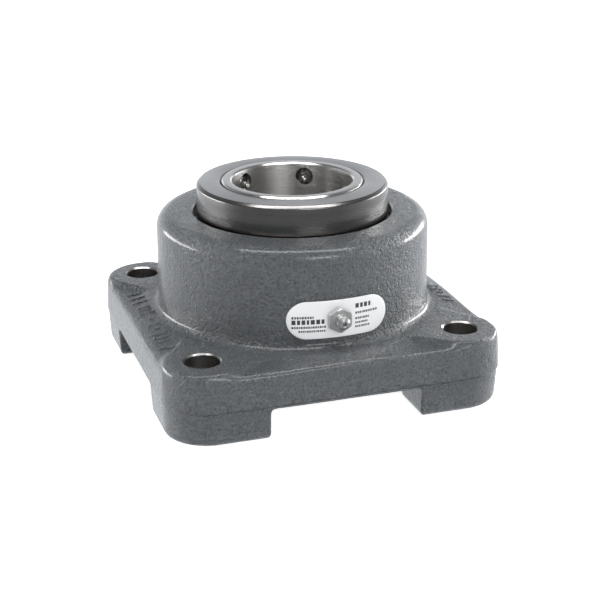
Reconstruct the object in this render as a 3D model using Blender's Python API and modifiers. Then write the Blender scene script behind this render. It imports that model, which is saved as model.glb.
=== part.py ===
"""Square four-bolt flange mount bearing with two rows of tapered rollers.

Metres. +Z runs along the shaft, the mounting face is z = 0, and the origin is its centre.
The bearing is built outwards from the shaft and upwards from the rear end of the hub, so
that every fit follows the size of the piece it fits on.
"""
import math

import bmesh
import bpy
from mathutils import Matrix, Vector

MM = 0.001
ASSEMBLY = "flange_mount_bearing"
GAP = 0.3 * MM                      # clearance where two pieces touch
TURN_STEPS = 54                     # facets of the housing and of what turns on the shaft
HOLE_STEPS = 20                     # facets of a bolt hole
SMALL_STEPS = 16                    # facets of a setscrew or a grease port
OVERSHOOT = 4 * MM                  # how far a cutter runs past the face it cuts
SHARP_ANGLE = math.radians(30)
NEAR = 0.1 * MM                     # points this close to a height are on it

# Shaft, sleeve and setscrews
SHAFT_DIAMETER = 61.92 * MM
SLEEVE_WALL = 5.28 * MM
SLEEVE_REAR_STUB = 9 * MM           # thin end of the sleeve behind its shoulder
SLEEVE_STUB_WALL = 7 * MM
SLEEVE_PROUD = 0.7 * MM             # sleeve end above the collar's face
SEAL_TRACK_WALL = 5.76 * MM         # sleeve shoulder and collar neck, on the sleeve
SEAL_TRACK_WIDTH = 10.2 * MM        # of the sleeve's shoulder
EDGE_BREAK = 0.8 * MM
SETSCREW_DIAMETER = 8.8 * MM
SETSCREW_ANGLES = (60.0, 125.0)     # degrees from +X about the shaft
SETSCREW_DROP = 6.7 * MM            # screw axis below the collar's face
SETSCREW_REST = 1 * MM              # point short of the shaft bore
SETSCREW_SUNK = 1.6 * MM            # head below the collar's side
SETSCREW_POINT = 5.3 * MM           # diameter of the cup point
SETSCREW_CUP = 3.7 * MM             # diameter of the hollow in it
SOCKET_ACROSS_FLATS = 4.76 * MM
SOCKET_DEPTH = 5 * MM

# Rolling parts
ROLLER_COUNT = 18
ROLLER_DIAMETER = 12 * MM           # at mid-length
ROLLER_LENGTH = 14.5 * MM
ROLLER_SIDES = 14
ROW_STEPS = 2 * ROLLER_COUNT        # facets of the rings, two to each roller
ROLLER_TILT = math.radians(13)      # roller axis from the shaft axis
CONE_WALL = 2.2 * MM                # under the small end of the raceway
RIB_HEIGHT = 2.7 * MM
SMALL_RIB_HEIGHT = 1.2 * MM
CONE_OVERHANG = 3 * MM              # cone face beyond the cup's face
CONE_SPACING = 5 * MM               # between the two cones' small faces
ROW_SPREAD = 4.94 * MM              # mid-plane to the small end of a roller's axis
CUP_MARGIN = 2.44 * MM              # cup face beyond the large end of a roller's axis
CUP_WALL = 2.7 * MM                 # at the cup's face
OIL_GROOVE_WIDTH = 6 * MM
OIL_GROOVE_DEPTH = 1 * MM
OIL_HOLE_DIAMETER = 3 * MM
CAGE_OFFSET = 1.3 * MM              # cage above the rollers' axes
CAGE_THICKNESS = 1.5 * MM
CAGE_RIM = 2.4 * MM
POCKET_CLEARANCE = 0.4 * MM

# Seals and retaining ring
SEAL_SHEET = 1.2 * MM
SEAL_WINDOW = 4.2 * MM              # hole in the case, round the seal track
SEAL_DEPTH = 5.2 * MM
LIP_THICKNESS = 1.5 * MM
LIP_REACH = 1.3 * MM
REAR_SEAL_DEPTH = 7.6 * MM
RING_THICKNESS = 2.4 * MM
RING_GROOVE_DEPTH = 2.3 * MM
RING_WIDTH = 5.8 * MM
RING_OPENING = 14 * MM
RING_HOLE_DIAMETER = 2.2 * MM

# Lock collar
COLLAR_WALL = 12.54 * MM            # on the sleeve, with the clearance
COLLAR_RISE = 14.83 * MM            # collar face above the hub
COLLAR_HEIGHT = 20.4 * MM           # large diameter only
COLLAR_BEVEL = 1.5 * MM             # at the top of its side

# Housing
HUB_WALL = 12.1 * MM
HUB_REAR = 9 * MM                   # rear end of the hub above the mounting face
REAR_LAND = 8.6 * MM                # hub behind the ring groove
REAR_WALL = 7.7 * MM                # hub behind the flange, on the cup bore
FRONT_RECESS = 15.27 * MM           # hub in front of the cup's shoulder
OPENING_CLEARANCE = 2.12 * MM       # housing opening round the collar
HUB_SHOULDER_RADIUS = 7.5 * MM
HUB_DRAFT = 0.5 * MM
HUB_FILLET = 3.9 * MM
RING_CREST = 7.3 * MM               # raised ring round the hub, beyond the hub's side
RING_SLOPE = 6.2 * MM
FLANGE_WIDTH = 174 * MM             # at the parting line
CORNER_RADIUS = 22 * MM
FOOT_HEIGHT = 15.5 * MM
PARTING_HEIGHT = 17.5 * MM
WEB_THICKNESS = 18.3 * MM
FOOT_DRAFT = 0.9 * MM
WEB_DRAFT = 0.8 * MM
WEB_EDGE_RADIUS = 3.5 * MM
FOOT_EDGE_BREAK = 1.2 * MM
FOOT_GAP = 76.6 * MM                # between two feet
FOOT_POCKET_CLEARANCE = 5.3 * MM    # round the rear of the hub
BOLT_INSET = 20.45 * MM             # bolt axis from the flange's side
BOLT_HOLE_DIAMETER = 17.2 * MM
PAD_RISE = 3.05 * MM
PAD_MARGIN = 10.1 * MM              # pad round a bolt hole
PAD_ROOT_ANGLE = math.radians(17.5)
PAD_ROOT_ROOM = 2.6 * MM            # from the hub's side to the pad's widest point

# Nameplate and grease fitting
PLATE_LENGTH = 50.9 * MM            # straight across its two ends
PLATE_HEIGHT = 18.9 * MM
PLATE_THICKNESS = 0.8 * MM
PLATE_TURN = math.radians(0.5)      # towards +X from the front
PLATE_LIFT = 1.7 * MM               # plate and fitting above the bearing's mid-plane
SHANK_DIAMETER = 8 * MM
SHANK_LENGTH = 9.4 * MM
HEX_ACROSS_FLATS = 11.1 * MM
HEX_HEIGHT = 3.2 * MM
NIPPLE_HEIGHT = 5.1 * MM
NIPPLE_DIAMETER = 6.6 * MM
NIPPLE_NECK = 5 * MM
NIPPLE_FACE = 3.6 * MM              # diameter of the flat tip
NIPPLE_CONE = 1.1 * MM              # lengths along the nipple's head, from the tip
NIPPLE_BAND = 1 * MM
NIPPLE_SHOULDER = 0.9 * MM
BALL_DIAMETER = 2.9 * MM
MOUTH_DIAMETER = 2 * MM
MOUTH_DEPTH = 1 * MM
PORT_DIAMETER = 1.8 * MM
SPRING_SEAT = 3.4 * MM              # spring seat above the shank's inner end
SPRING_WIRE = 0.4 * MM
SPRING_TURNS = 6
SPRING_POINTS = 8                   # to each turn

# Radii, from the shaft outwards
SHAFT_RADIUS = SHAFT_DIAMETER / 2
SLEEVE_RADIUS = SHAFT_RADIUS + SLEEVE_WALL
SEAL_TRACK_RADIUS = SLEEVE_RADIUS + SEAL_TRACK_WALL
CONE_BORE = SLEEVE_RADIUS + GAP
ROLLER_RADIUS = ROLLER_DIAMETER / 2
HALF_ROLLER = ROLLER_LENGTH / 2
PITCH_RADIUS = (CONE_BORE + CONE_WALL + GAP
                + (ROLLER_RADIUS - GAP / 2) * math.cos(ROLLER_TILT)
                + HALF_ROLLER * math.sin(ROLLER_TILT))
ROLLER_SLOPE = ROLLER_RADIUS * math.sin(ROLLER_TILT) / PITCH_RADIUS
ROW_OFFSET = ROW_SPREAD + HALF_ROLLER * math.cos(ROLLER_TILT)
CUP_HALF_WIDTH = ROW_OFFSET + HALF_ROLLER * math.cos(ROLLER_TILT) + CUP_MARGIN
COLLAR_RADIUS = SLEEVE_RADIUS + GAP + COLLAR_WALL
OPENING_RADIUS = COLLAR_RADIUS + OPENING_CLEARANCE


def roller_radius(along):
    """Radius of a roller at a distance along its axis from mid-length."""
    return ROLLER_RADIUS + along * ROLLER_SLOPE


def row_point(along, across):
    """Radius and height over the mid-plane of a point given in a roller's own axes."""
    radius = PITCH_RADIUS + along * math.sin(ROLLER_TILT) + across * math.cos(ROLLER_TILT)
    height = ROW_OFFSET + along * math.cos(ROLLER_TILT) - across * math.sin(ROLLER_TILT)
    return radius, height


def raceway_end():
    """Radius where the outer raceway meets the cup's face."""
    rise = CUP_HALF_WIDTH - ROW_OFFSET + (ROLLER_RADIUS + GAP) * math.sin(ROLLER_TILT)
    along = rise / (math.cos(ROLLER_TILT) - ROLLER_SLOPE * math.sin(ROLLER_TILT))
    return row_point(along, roller_radius(along) + GAP)[0]


CUP_RADIUS = raceway_end() + CUP_WALL
CUP_BORE = CUP_RADIUS + GAP
HUB_RADIUS = CUP_BORE + HUB_WALL
REAR_RADIUS = CUP_BORE + REAR_WALL

# Heights, from the rear end of the hub upwards
GROOVE_LOW = HUB_REAR + REAR_LAND
GROOVE_HIGH = GROOVE_LOW + RING_THICKNESS + 2 * GAP
CUP_LOW = GROOVE_HIGH + REAR_SEAL_DEPTH + GAP
MID_PLANE = CUP_LOW + CUP_HALF_WIDTH
SHOULDER = CUP_LOW + 2 * CUP_HALF_WIDTH + GAP
HUB_TOP = SHOULDER + FRONT_RECESS
CONE_REACH = CUP_HALF_WIDTH + CONE_OVERHANG
COLLAR_TOP = HUB_TOP + COLLAR_RISE
COLLAR_LOW = COLLAR_TOP - COLLAR_HEIGHT
SLEEVE_TOP = COLLAR_TOP + SLEEVE_PROUD
SLEEVE_SHOULDER = MID_PLANE - CONE_REACH - GAP
TRACK_LOW = SLEEVE_SHOULDER - SEAL_TRACK_WIDTH
SETSCREW_HEIGHT = COLLAR_TOP - SETSCREW_DROP
PLATE_HEIGHT_Z = MID_PLANE + PLATE_LIFT
WEB_TOP = FOOT_HEIGHT + WEB_THICKNESS
PAD_TOP = WEB_TOP + PAD_RISE
HALF_FLANGE = FLANGE_WIDTH / 2
BOLT_AT = HALF_FLANGE - BOLT_INSET
PAD_RADIUS = BOLT_HOLE_DIAMETER / 2 + PAD_MARGIN
PLATE_BOTTOM = PLATE_HEIGHT_Z - PLATE_HEIGHT / 2
PLATE_INNER = HUB_RADIUS + GAP
PLATE_OUTER = PLATE_INNER + PLATE_THICKNESS

LOOKS = {
    "cast_paint": ((0.13, 0.145, 0.155), 0.5, 0.15),
    "dark_steel": ((0.2, 0.2, 0.2), 0.32, 1.0),
    "bright_steel": ((0.62, 0.61, 0.6), 0.22, 1.0),
    "bearing_steel": ((0.5, 0.5, 0.5), 0.2, 1.0),
    "cage_steel": ((0.36, 0.36, 0.37), 0.4, 1.0),
    "black_oxide": ((0.06, 0.06, 0.065), 0.4, 0.8),
    "zinc": ((0.66, 0.67, 0.66), 0.3, 1.0),
    "plate_metal": ((0.8, 0.81, 0.81), 0.35, 0.6),
    "seal_rubber": ((0.02, 0.02, 0.021), 0.65, 0.0),
}


def clear_scene():
    for obj in list(bpy.data.objects):
        bpy.data.objects.remove(obj, do_unlink=True)


def new_collection(name):
    collection = bpy.data.collections.new(name)
    bpy.context.scene.collection.children.link(collection)
    return collection


def make_materials():
    made = {}
    for name, (colour, roughness, metallic) in LOOKS.items():
        material = bpy.data.materials.new(name)
        material.use_nodes = True
        shader = material.node_tree.nodes["Principled BSDF"]
        shader.inputs["Base Color"].default_value = (*colour, 1.0)
        shader.inputs["Roughness"].default_value = roughness
        shader.inputs["Metallic"].default_value = metallic
        made[name] = material
    return made


clear_scene()
PARTS = new_collection(ASSEMBLY)
CUTTERS = new_collection("cutters")
MATERIALS = make_materials()


def add_part(obj, look, parent=None):
    """Put a piece in the assembly with its material, parented without moving it."""
    PARTS.objects.link(obj)
    if not obj.data.materials:
        obj.data.materials.append(MATERIALS[look])
    if parent:
        obj.parent = parent
    return obj


def add_cutter(obj):
    CUTTERS.objects.link(obj)
    obj.hide_render = True
    obj.display_type = "WIRE"
    return obj


def add_axis(name, parent=None):
    empty = bpy.data.objects.new(name, None)
    PARTS.objects.link(empty)
    empty.parent = parent
    return empty


def turned(name, profile, steps=TURN_STEPS, closed=True):
    """Turn a profile of (radius, height) points about Z. It runs down its outer side."""
    mesh = bpy.data.meshes.new(name)
    points = [(radius, 0.0, height) for radius, height in profile]
    edges = [(index, index + 1) for index in range(len(points) - 1)]
    if closed:
        edges.append((len(points) - 1, 0))
    mesh.from_pydata(points, edges, [])
    obj = bpy.data.objects.new(name, mesh)
    screw = obj.modifiers.new("turn", "SCREW")
    screw.steps = steps
    screw.render_steps = steps
    screw.use_merge_vertices = True
    screw.merge_threshold = 0.00001
    return obj


def mesh_object(name, bm):
    mesh = bpy.data.meshes.new(name)
    bmesh.ops.recalc_face_normals(bm, faces=bm.faces)
    bm.to_mesh(mesh)
    bm.free()
    return bpy.data.objects.new(name, mesh)


def box(name, low, high):
    bm = bmesh.new()
    size = [high[axis] - low[axis] for axis in range(3)]
    centre = [(high[axis] + low[axis]) / 2 for axis in range(3)]
    place = Matrix.Translation(centre) @ Matrix.Diagonal((*size, 1.0))
    bmesh.ops.create_cube(bm, size=1.0, matrix=place)
    return mesh_object(name, bm)


def prism(name, radius, low, high, sides):
    """Upright cylinder or regular prism about Z."""
    bm = bmesh.new()
    middle = Matrix.Translation((0.0, 0.0, (low + high) / 2))
    bmesh.ops.create_cone(bm, cap_ends=True, segments=sides, radius1=radius, radius2=radius,
                          depth=high - low, matrix=middle)
    return mesh_object(name, bm)


def outline_plate(name, outline, low, high):
    """Flat outline filled and extruded along Z, made a mesh."""
    curve = bpy.data.curves.new(name, "CURVE")
    curve.dimensions = "2D"
    curve.fill_mode = "BOTH"
    curve.extrude = (high - low) / 2
    spline = curve.splines.new("POLY")
    spline.points.add(len(outline) - 1)
    for point, (x, y) in zip(spline.points, outline):
        point.co = (x, y, 0.0, 1.0)
    spline.use_cyclic_u = True
    guide = bpy.data.objects.new(name + "_outline", curve)
    CUTTERS.objects.link(guide)
    obj = meshed(name, guide)
    obj.data.transform(Matrix.Translation((0.0, 0.0, (low + high) / 2)))
    return obj


def meshed(name, guide):
    """Mesh copy of a curve object, with its caps welded. The curve is removed."""
    view = bpy.context.evaluated_depsgraph_get()
    mesh = bpy.data.meshes.new_from_object(guide.evaluated_get(view))
    bm = bmesh.new()
    bm.from_mesh(mesh)
    bmesh.ops.remove_doubles(bm, verts=bm.verts, dist=0.000001)
    bmesh.ops.recalc_face_normals(bm, faces=bm.faces)
    bm.to_mesh(mesh)
    bm.free()
    obj = bpy.data.objects.new(name, mesh)
    obj.matrix_world = guide.matrix_world.copy()
    bpy.data.objects.remove(guide, do_unlink=True)
    return obj


def combine(obj, other, operation):
    step = obj.modifiers.new(other.name, "BOOLEAN")
    step.operation = operation
    step.solver = "EXACT"
    step.object = other


def settle(obj):
    """Apply a piece's modifiers and shade its round faces smooth."""
    view = bpy.context.evaluated_depsgraph_get()
    mesh = bpy.data.meshes.new_from_object(obj.evaluated_get(view))
    mesh.name = obj.name
    obj.modifiers.clear()
    obj.data = mesh
    mesh.shade_smooth()
    mesh.set_sharp_from_angle(angle=SHARP_ANGLE)


def arc(centre, radius, start, stop, pieces):
    """Points on an arc from one angle to another, both ends in."""
    points = []
    for index in range(pieces + 1):
        angle = start + (stop - start) * index / pieces
        points.append((centre[0] + radius * math.cos(angle), centre[1] + radius * math.sin(angle)))
    return points


def facing_out(obj, angle, height):
    """Turn a piece whose own +Z points outwards, so that it sits on the hub at an angle."""
    obj.location = (0.0, 0.0, height)
    obj.rotation_euler = (0.0, math.pi / 2, angle)
    return obj


# ---------------------------------------------------------------- housing

def flange_block():
    """Square flange with its feet: drafted both ways from the parting line, round corners."""
    bm = bmesh.new()
    centre = Matrix.Translation((0.0, 0.0, WEB_TOP / 2))
    size = Matrix.Diagonal((FLANGE_WIDTH, FLANGE_WIDTH, WEB_TOP, 1.0))
    bmesh.ops.create_cube(bm, size=1.0, matrix=centre @ size)
    bmesh.ops.bisect_plane(bm, geom=bm.verts[:] + bm.edges[:] + bm.faces[:],
                           plane_co=(0.0, 0.0, PARTING_HEIGHT), plane_no=(0.0, 0.0, 1.0))
    insets = {0.0: FOOT_DRAFT, WEB_TOP: WEB_DRAFT}
    for vert in bm.verts:
        for height, inset in insets.items():
            if abs(vert.co.z - height) < NEAR:
                vert.co.xy = vert.co.xy * (1 - inset / HALF_FLANGE)
    corners = [edge for edge in bm.edges if abs(edge.verts[0].co.z - edge.verts[1].co.z) > MM]
    bmesh.ops.bevel(bm, geom=corners, offset=CORNER_RADIUS, segments=7, profile=0.5,
                    affect="EDGES")
    for height, width, pieces in ((WEB_TOP, WEB_EDGE_RADIUS, 3), (0.0, FOOT_EDGE_BREAK, 1)):
        rim = [edge for edge in bm.edges
               if all(abs(vert.co.z - height) < NEAR for vert in edge.verts)]
        bmesh.ops.bevel(bm, geom=rim, offset=width, segments=pieces, profile=0.5, affect="EDGES")
    return add_cutter(mesh_object("flange_block", bm))


def hub_profile():
    """Outside of the hub, with the raised ring where it meets the flange.

    The fillet between them ends below the nameplate.
    """
    shoulder_at = (HUB_RADIUS - HUB_DRAFT - HUB_SHOULDER_RADIUS, HUB_TOP - HUB_SHOULDER_RADIUS)
    fillet = min(HUB_FILLET, PLATE_BOTTOM - PAD_TOP)
    fillet_at = (HUB_RADIUS + fillet, PAD_TOP + fillet)
    crest = HUB_RADIUS + RING_CREST
    profile = [(0.0, HUB_TOP)]
    profile += arc(shoulder_at, HUB_SHOULDER_RADIUS, math.pi / 2, 0.0, 4)
    profile += arc(fillet_at, fillet, math.pi, 1.5 * math.pi, 2)
    profile += [
        (crest, PAD_TOP),
        (crest + RING_SLOPE, WEB_TOP - GAP),
        (crest + RING_SLOPE, (FOOT_HEIGHT + WEB_TOP) / 2),
        (REAR_RADIUS, (FOOT_HEIGHT + WEB_TOP) / 2),
        (REAR_RADIUS, HUB_REAR),
        (0.0, HUB_REAR),
    ]
    return profile


def pad_outline():
    """Round bolt pad that widens towards the hub, for the corner at +X +Y."""
    root = HUB_RADIUS + PAD_ROOT_ROOM
    diagonal = math.pi / 4
    low_root = Vector((root * math.cos(diagonal - PAD_ROOT_ANGLE),
                       root * math.sin(diagonal - PAD_ROOT_ANGLE)))
    centre = Vector((BOLT_AT, BOLT_AT))
    to_root = low_root - centre
    spread = math.acos(PAD_RADIUS / to_root.length)
    start = math.atan2(to_root.y, to_root.x) + spread
    points = arc(centre, PAD_RADIUS, start, math.pi / 2 - start, 11)
    points.append((low_root.y, low_root.x))
    points.append((CUP_RADIUS * math.cos(diagonal), CUP_RADIUS * math.sin(diagonal)))
    points.append((low_root.x, low_root.y))
    return points


def bore_profile():
    """Inside of the housing: opening, cup seat with its shoulder, and ring groove."""
    groove = CUP_BORE + RING_GROOVE_DEPTH
    return [
        (0.0, HUB_TOP + OVERSHOOT),
        (OPENING_RADIUS + EDGE_BREAK, HUB_TOP + OVERSHOOT),
        (OPENING_RADIUS + EDGE_BREAK, HUB_TOP),
        (OPENING_RADIUS, HUB_TOP - EDGE_BREAK),
        (OPENING_RADIUS, SHOULDER),
        (CUP_BORE, SHOULDER),
        (CUP_BORE, GROOVE_HIGH),
        (groove, GROOVE_HIGH),
        (groove, GROOVE_LOW),
        (CUP_BORE, GROOVE_LOW),
        (CUP_BORE, HUB_REAR + EDGE_BREAK),
        (CUP_BORE + EDGE_BREAK, HUB_REAR),
        (CUP_BORE + EDGE_BREAK, HUB_REAR - OVERSHOOT),
        (0.0, HUB_REAR - OVERSHOOT),
    ]


def bolt_hole_cutter(name):
    radius = BOLT_HOLE_DIAMETER / 2
    wide = radius + EDGE_BREAK
    profile = [
        (0.0, PAD_TOP + OVERSHOOT),
        (wide, PAD_TOP + OVERSHOOT),
        (wide, PAD_TOP),
        (radius, PAD_TOP - EDGE_BREAK),
        (radius, -OVERSHOOT),
        (0.0, -OVERSHOOT),
    ]
    return add_cutter(turned(name, profile, HOLE_STEPS, closed=False))


def grease_port_cutter():
    """Stepped hole from the hub's side to the oil groove of the cup."""
    shank = SHANK_DIAMETER / 2 + GAP
    port = OIL_HOLE_DIAMETER / 2
    step = PLATE_OUTER + GAP - SHANK_LENGTH - GAP
    profile = [
        (0.0, PLATE_OUTER + OVERSHOOT),
        (shank, PLATE_OUTER + OVERSHOOT),
        (shank, step),
        (port, step),
        (port, CUP_RADIUS - OVERSHOOT),
        (0.0, CUP_RADIUS - OVERSHOOT),
    ]
    cutter = add_cutter(turned("grease_port", profile, SMALL_STEPS, closed=False))
    return facing_out(cutter, -math.pi / 2, PLATE_HEIGHT_Z)


def make_housing():
    """Cast housing: hub, flange, bolt pads and feet, then everything that is machined."""
    housing = add_part(turned("housing", hub_profile(), closed=False), "cast_paint")
    combine(housing, flange_block(), "UNION")
    for corner in range(4):
        pad = outline_plate(f"bolt_pad_{corner + 1}", pad_outline(), FOOT_HEIGHT + MM, PAD_TOP)
        add_cutter(pad).rotation_euler.z = corner * math.pi / 2
        combine(housing, pad, "UNION")
    half_gap = FOOT_GAP / 2
    reach = HALF_FLANGE + OVERSHOOT
    channels = {
        "channel_x": ((-reach, -half_gap, -OVERSHOOT), (reach, half_gap, FOOT_HEIGHT)),
        "channel_y": ((-half_gap, -reach, -OVERSHOOT), (half_gap, reach, FOOT_HEIGHT)),
    }
    keep = prism("hub_keep", REAR_RADIUS, HUB_REAR, FOOT_HEIGHT + OVERSHOOT, TURN_STEPS)
    add_cutter(keep)
    pocket = prism("foot_pocket", REAR_RADIUS + FOOT_POCKET_CLEARANCE, -OVERSHOOT, FOOT_HEIGHT,
                   TURN_STEPS)
    cutters = [add_cutter(box(name, low, high)) for name, (low, high) in channels.items()]
    cutters.append(add_cutter(pocket))
    for cutter in cutters:
        combine(cutter, keep, "DIFFERENCE")
        combine(housing, cutter, "DIFFERENCE")
    combine(housing, add_cutter(turned("bore", bore_profile(), closed=False)), "DIFFERENCE")
    for corner in range(4):
        hole = bolt_hole_cutter(f"bolt_hole_{corner + 1}")
        hole.location.x = BOLT_AT * (1 if corner in (0, 3) else -1)
        hole.location.y = BOLT_AT * (1 if corner in (0, 1) else -1)
        combine(housing, hole, "DIFFERENCE")
    combine(housing, grease_port_cutter(), "DIFFERENCE")
    return housing


# ---------------------------------------------------------------- rolling parts

def on_row(points, side):
    """Profile points given over the mid-plane, placed in the front (1) or rear (-1) row."""
    placed = [(radius, MID_PLANE + side * height) for radius, height in points]
    if side < 0:
        placed.reverse()
    return placed


def cone_profile():
    """Inner ring: raceway between a small and a large rib, the large rib outwards."""
    small, large = -HALF_ROLLER - GAP, HALF_ROLLER + GAP
    low_edge = -roller_radius(small) - GAP
    high_edge = -roller_radius(large) - GAP
    rib = row_point(large, high_edge + RIB_HEIGHT)
    small_rib = row_point(small, low_edge + SMALL_RIB_HEIGHT)
    return [
        (CONE_BORE, CONE_REACH),
        (rib[0], CONE_REACH),
        rib,
        row_point(large, high_edge),
        row_point(small, low_edge),
        small_rib,
        (small_rib[0], CONE_SPACING / 2),
        (CONE_BORE, CONE_SPACING / 2),
    ]


def cup_profile():
    """Outer ring with both raceways, and the oil groove round its outside."""
    small = -HALF_ROLLER - 5 * GAP
    land = row_point(small, roller_radius(small) + GAP)
    face = CUP_RADIUS - CUP_WALL
    half_groove = OIL_GROOVE_WIDTH / 2
    floor = CUP_RADIUS - OIL_GROOVE_DEPTH
    outside = [
        (CUP_RADIUS, CUP_HALF_WIDTH),
        (CUP_RADIUS, half_groove),
        (floor, half_groove),
        (floor, -half_groove),
        (CUP_RADIUS, -half_groove),
        (CUP_RADIUS, -CUP_HALF_WIDTH),
    ]
    inside = [
        (face, -CUP_HALF_WIDTH),
        (land[0], -land[1]),
        land,
        (face, CUP_HALF_WIDTH),
    ]
    return outside + inside


def make_cup():
    cup = add_part(turned("double_cup", on_row(cup_profile(), 1), ROW_STEPS), "bearing_steel")
    for index in range(3):
        hole = prism(f"oil_hole_{index + 1}", OIL_HOLE_DIAMETER / 2, PITCH_RADIUS,
                     CUP_RADIUS + OVERSHOOT, 8)
        facing_out(add_cutter(hole), math.radians(30 + 120 * index), MID_PLANE)
        combine(cup, hole, "DIFFERENCE")


def roller_place(index, side):
    """Place and turn of one roller, its own +Z towards its large end."""
    tilt = ROLLER_TILT if side > 0 else math.pi - ROLLER_TILT
    around = Matrix.Rotation(2 * math.pi * index / ROLLER_COUNT, 4, "Z")
    out = Matrix.Translation((PITCH_RADIUS, 0.0, MID_PLANE + side * ROW_OFFSET))
    return around @ out @ Matrix.Rotation(tilt, 4, "Y")


def roller_mesh():
    bm = bmesh.new()
    bmesh.ops.create_cone(bm, cap_ends=True, segments=ROLLER_SIDES,
                          radius1=roller_radius(-HALF_ROLLER),
                          radius2=roller_radius(HALF_ROLLER), depth=ROLLER_LENGTH)
    mesh = bpy.data.meshes.new("tapered_roller")
    bm.to_mesh(mesh)
    bm.free()
    mesh.shade_smooth()
    mesh.set_sharp_from_angle(angle=SHARP_ANGLE)
    mesh.materials.append(MATERIALS["bearing_steel"])
    return mesh


def pocket_cutter(name, side):
    """One tapered block for each roller, a little larger than the roller."""
    bm = bmesh.new()
    half = HALF_ROLLER + POCKET_CLEARANCE
    tall = CAGE_OFFSET + CAGE_THICKNESS + OVERSHOOT
    for index in range(ROLLER_COUNT):
        block = Matrix.Diagonal((2 * tall, 1.0, 2 * half, 1.0))
        made = bmesh.ops.create_cube(bm, size=1.0, matrix=block)["verts"]
        for vert in made:
            width = roller_radius(vert.co.z) + POCKET_CLEARANCE
            vert.co.y = math.copysign(width, vert.co.y)
            if vert.co.x < 0:
                vert.co.x = 0.0 if side > 0 else vert.co.x
            elif side < 0:
                vert.co.x = 0.0
        bmesh.ops.transform(bm, verts=made, matrix=roller_place(index, side))
    return add_cutter(mesh_object(name, bm))


def make_cage(name, side, axis):
    low = -HALF_ROLLER - CAGE_RIM
    high = HALF_ROLLER + CAGE_RIM
    outer = CAGE_OFFSET + CAGE_THICKNESS
    shell = [
        row_point(high, outer),
        row_point(low, outer),
        row_point(low, CAGE_OFFSET),
        row_point(high, CAGE_OFFSET),
    ]
    cage = add_part(turned(name, on_row(shell, side), ROW_STEPS), "cage_steel", axis)
    combine(cage, pocket_cutter(name + "_pockets", side), "DIFFERENCE")


def make_rows(shaft_axis):
    """Both rows: cone on the sleeve, cage, and the rollers that the cage carries."""
    mesh = roller_mesh()
    for row, side in (("front", 1), ("rear", -1)):
        cone = turned(row + "_cone", on_row(cone_profile(), side), ROW_STEPS)
        add_part(cone, "bearing_steel", shaft_axis)
        axis = add_axis(row + "_cage_axis")
        make_cage(row + "_cage", side, axis)
        for index in range(ROLLER_COUNT):
            roller = bpy.data.objects.new(f"{row}_roller_{index + 1:02d}", mesh)
            roller.matrix_world = roller_place(index, side)
            add_part(roller, "bearing_steel", axis)
    half = CONE_SPACING / 2 - GAP
    wall = CONE_BORE + CONE_WALL + GAP
    spacer = [(wall, half), (wall, -half), (CONE_BORE, -half), (CONE_BORE, half)]
    add_part(turned("cone_spacer", on_row(spacer, 1), ROW_STEPS), "bearing_steel", shaft_axis)


# ---------------------------------------------------------------- shaft parts

def setscrew_hole(name, angle):
    radius = SETSCREW_DIAMETER / 2 + GAP
    hole = prism(name, radius, SHAFT_RADIUS / 2, COLLAR_RADIUS + OVERSHOOT, SMALL_STEPS)
    return facing_out(add_cutter(hole), math.radians(angle), SETSCREW_HEIGHT)


def make_sleeve(shaft_axis):
    """Extended inner ring: its shoulder carries the rear cone."""
    stub = SHAFT_RADIUS + SLEEVE_STUB_WALL
    low = TRACK_LOW - SLEEVE_REAR_STUB
    profile = [
        (SLEEVE_RADIUS - EDGE_BREAK, SLEEVE_TOP),
        (SLEEVE_RADIUS, SLEEVE_TOP - EDGE_BREAK),
        (SLEEVE_RADIUS, SLEEVE_SHOULDER),
        (SEAL_TRACK_RADIUS, SLEEVE_SHOULDER),
        (SEAL_TRACK_RADIUS, TRACK_LOW),
        (stub, TRACK_LOW),
        (stub, low),
        (SHAFT_RADIUS + EDGE_BREAK, low),
        (SHAFT_RADIUS, low + EDGE_BREAK),
        (SHAFT_RADIUS, SLEEVE_TOP - EDGE_BREAK),
        (SHAFT_RADIUS + EDGE_BREAK, SLEEVE_TOP),
    ]
    return add_part(turned("inner_sleeve", profile), "bright_steel", shaft_axis)


def make_collar(shaft_axis):
    """Lock collar: its neck holds the cones against the sleeve's shoulder."""
    neck_low = MID_PLANE + CONE_REACH + GAP
    profile = [
        (COLLAR_RADIUS - COLLAR_BEVEL, COLLAR_TOP),
        (COLLAR_RADIUS, COLLAR_TOP - COLLAR_BEVEL),
        (COLLAR_RADIUS, COLLAR_LOW),
        (SEAL_TRACK_RADIUS, COLLAR_LOW),
        (SEAL_TRACK_RADIUS, neck_low),
        (CONE_BORE, neck_low),
        (CONE_BORE, COLLAR_TOP - EDGE_BREAK),
        (CONE_BORE + EDGE_BREAK, COLLAR_TOP),
    ]
    return add_part(turned("lock_collar", profile), "dark_steel", shaft_axis)


def make_setscrew(name, angle, shaft_axis):
    """Cup-point setscrew, its own +Z outwards from the shaft."""
    radius = SETSCREW_DIAMETER / 2
    tip = SHAFT_RADIUS + SETSCREW_REST
    head = COLLAR_RADIUS - SETSCREW_SUNK
    point = SETSCREW_POINT / 2
    cup = SETSCREW_CUP / 2
    profile = [
        (0.0, head),
        (radius - EDGE_BREAK / 2, head),
        (radius, head - EDGE_BREAK / 2),
        (radius, tip + radius - point),
        (point, tip),
        (cup, tip),
        (0.0, tip + cup),
    ]
    screw = add_part(turned(name, profile, SMALL_STEPS, closed=False), "black_oxide", shaft_axis)
    socket = prism(name + "_socket", SOCKET_ACROSS_FLATS / math.sqrt(3), head - SOCKET_DEPTH,
                   head + OVERSHOOT, 6)
    turn = math.radians(angle)
    combine(screw, facing_out(add_cutter(socket), turn, SETSCREW_HEIGHT), "DIFFERENCE")
    facing_out(screw, turn, SETSCREW_HEIGHT)


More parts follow.
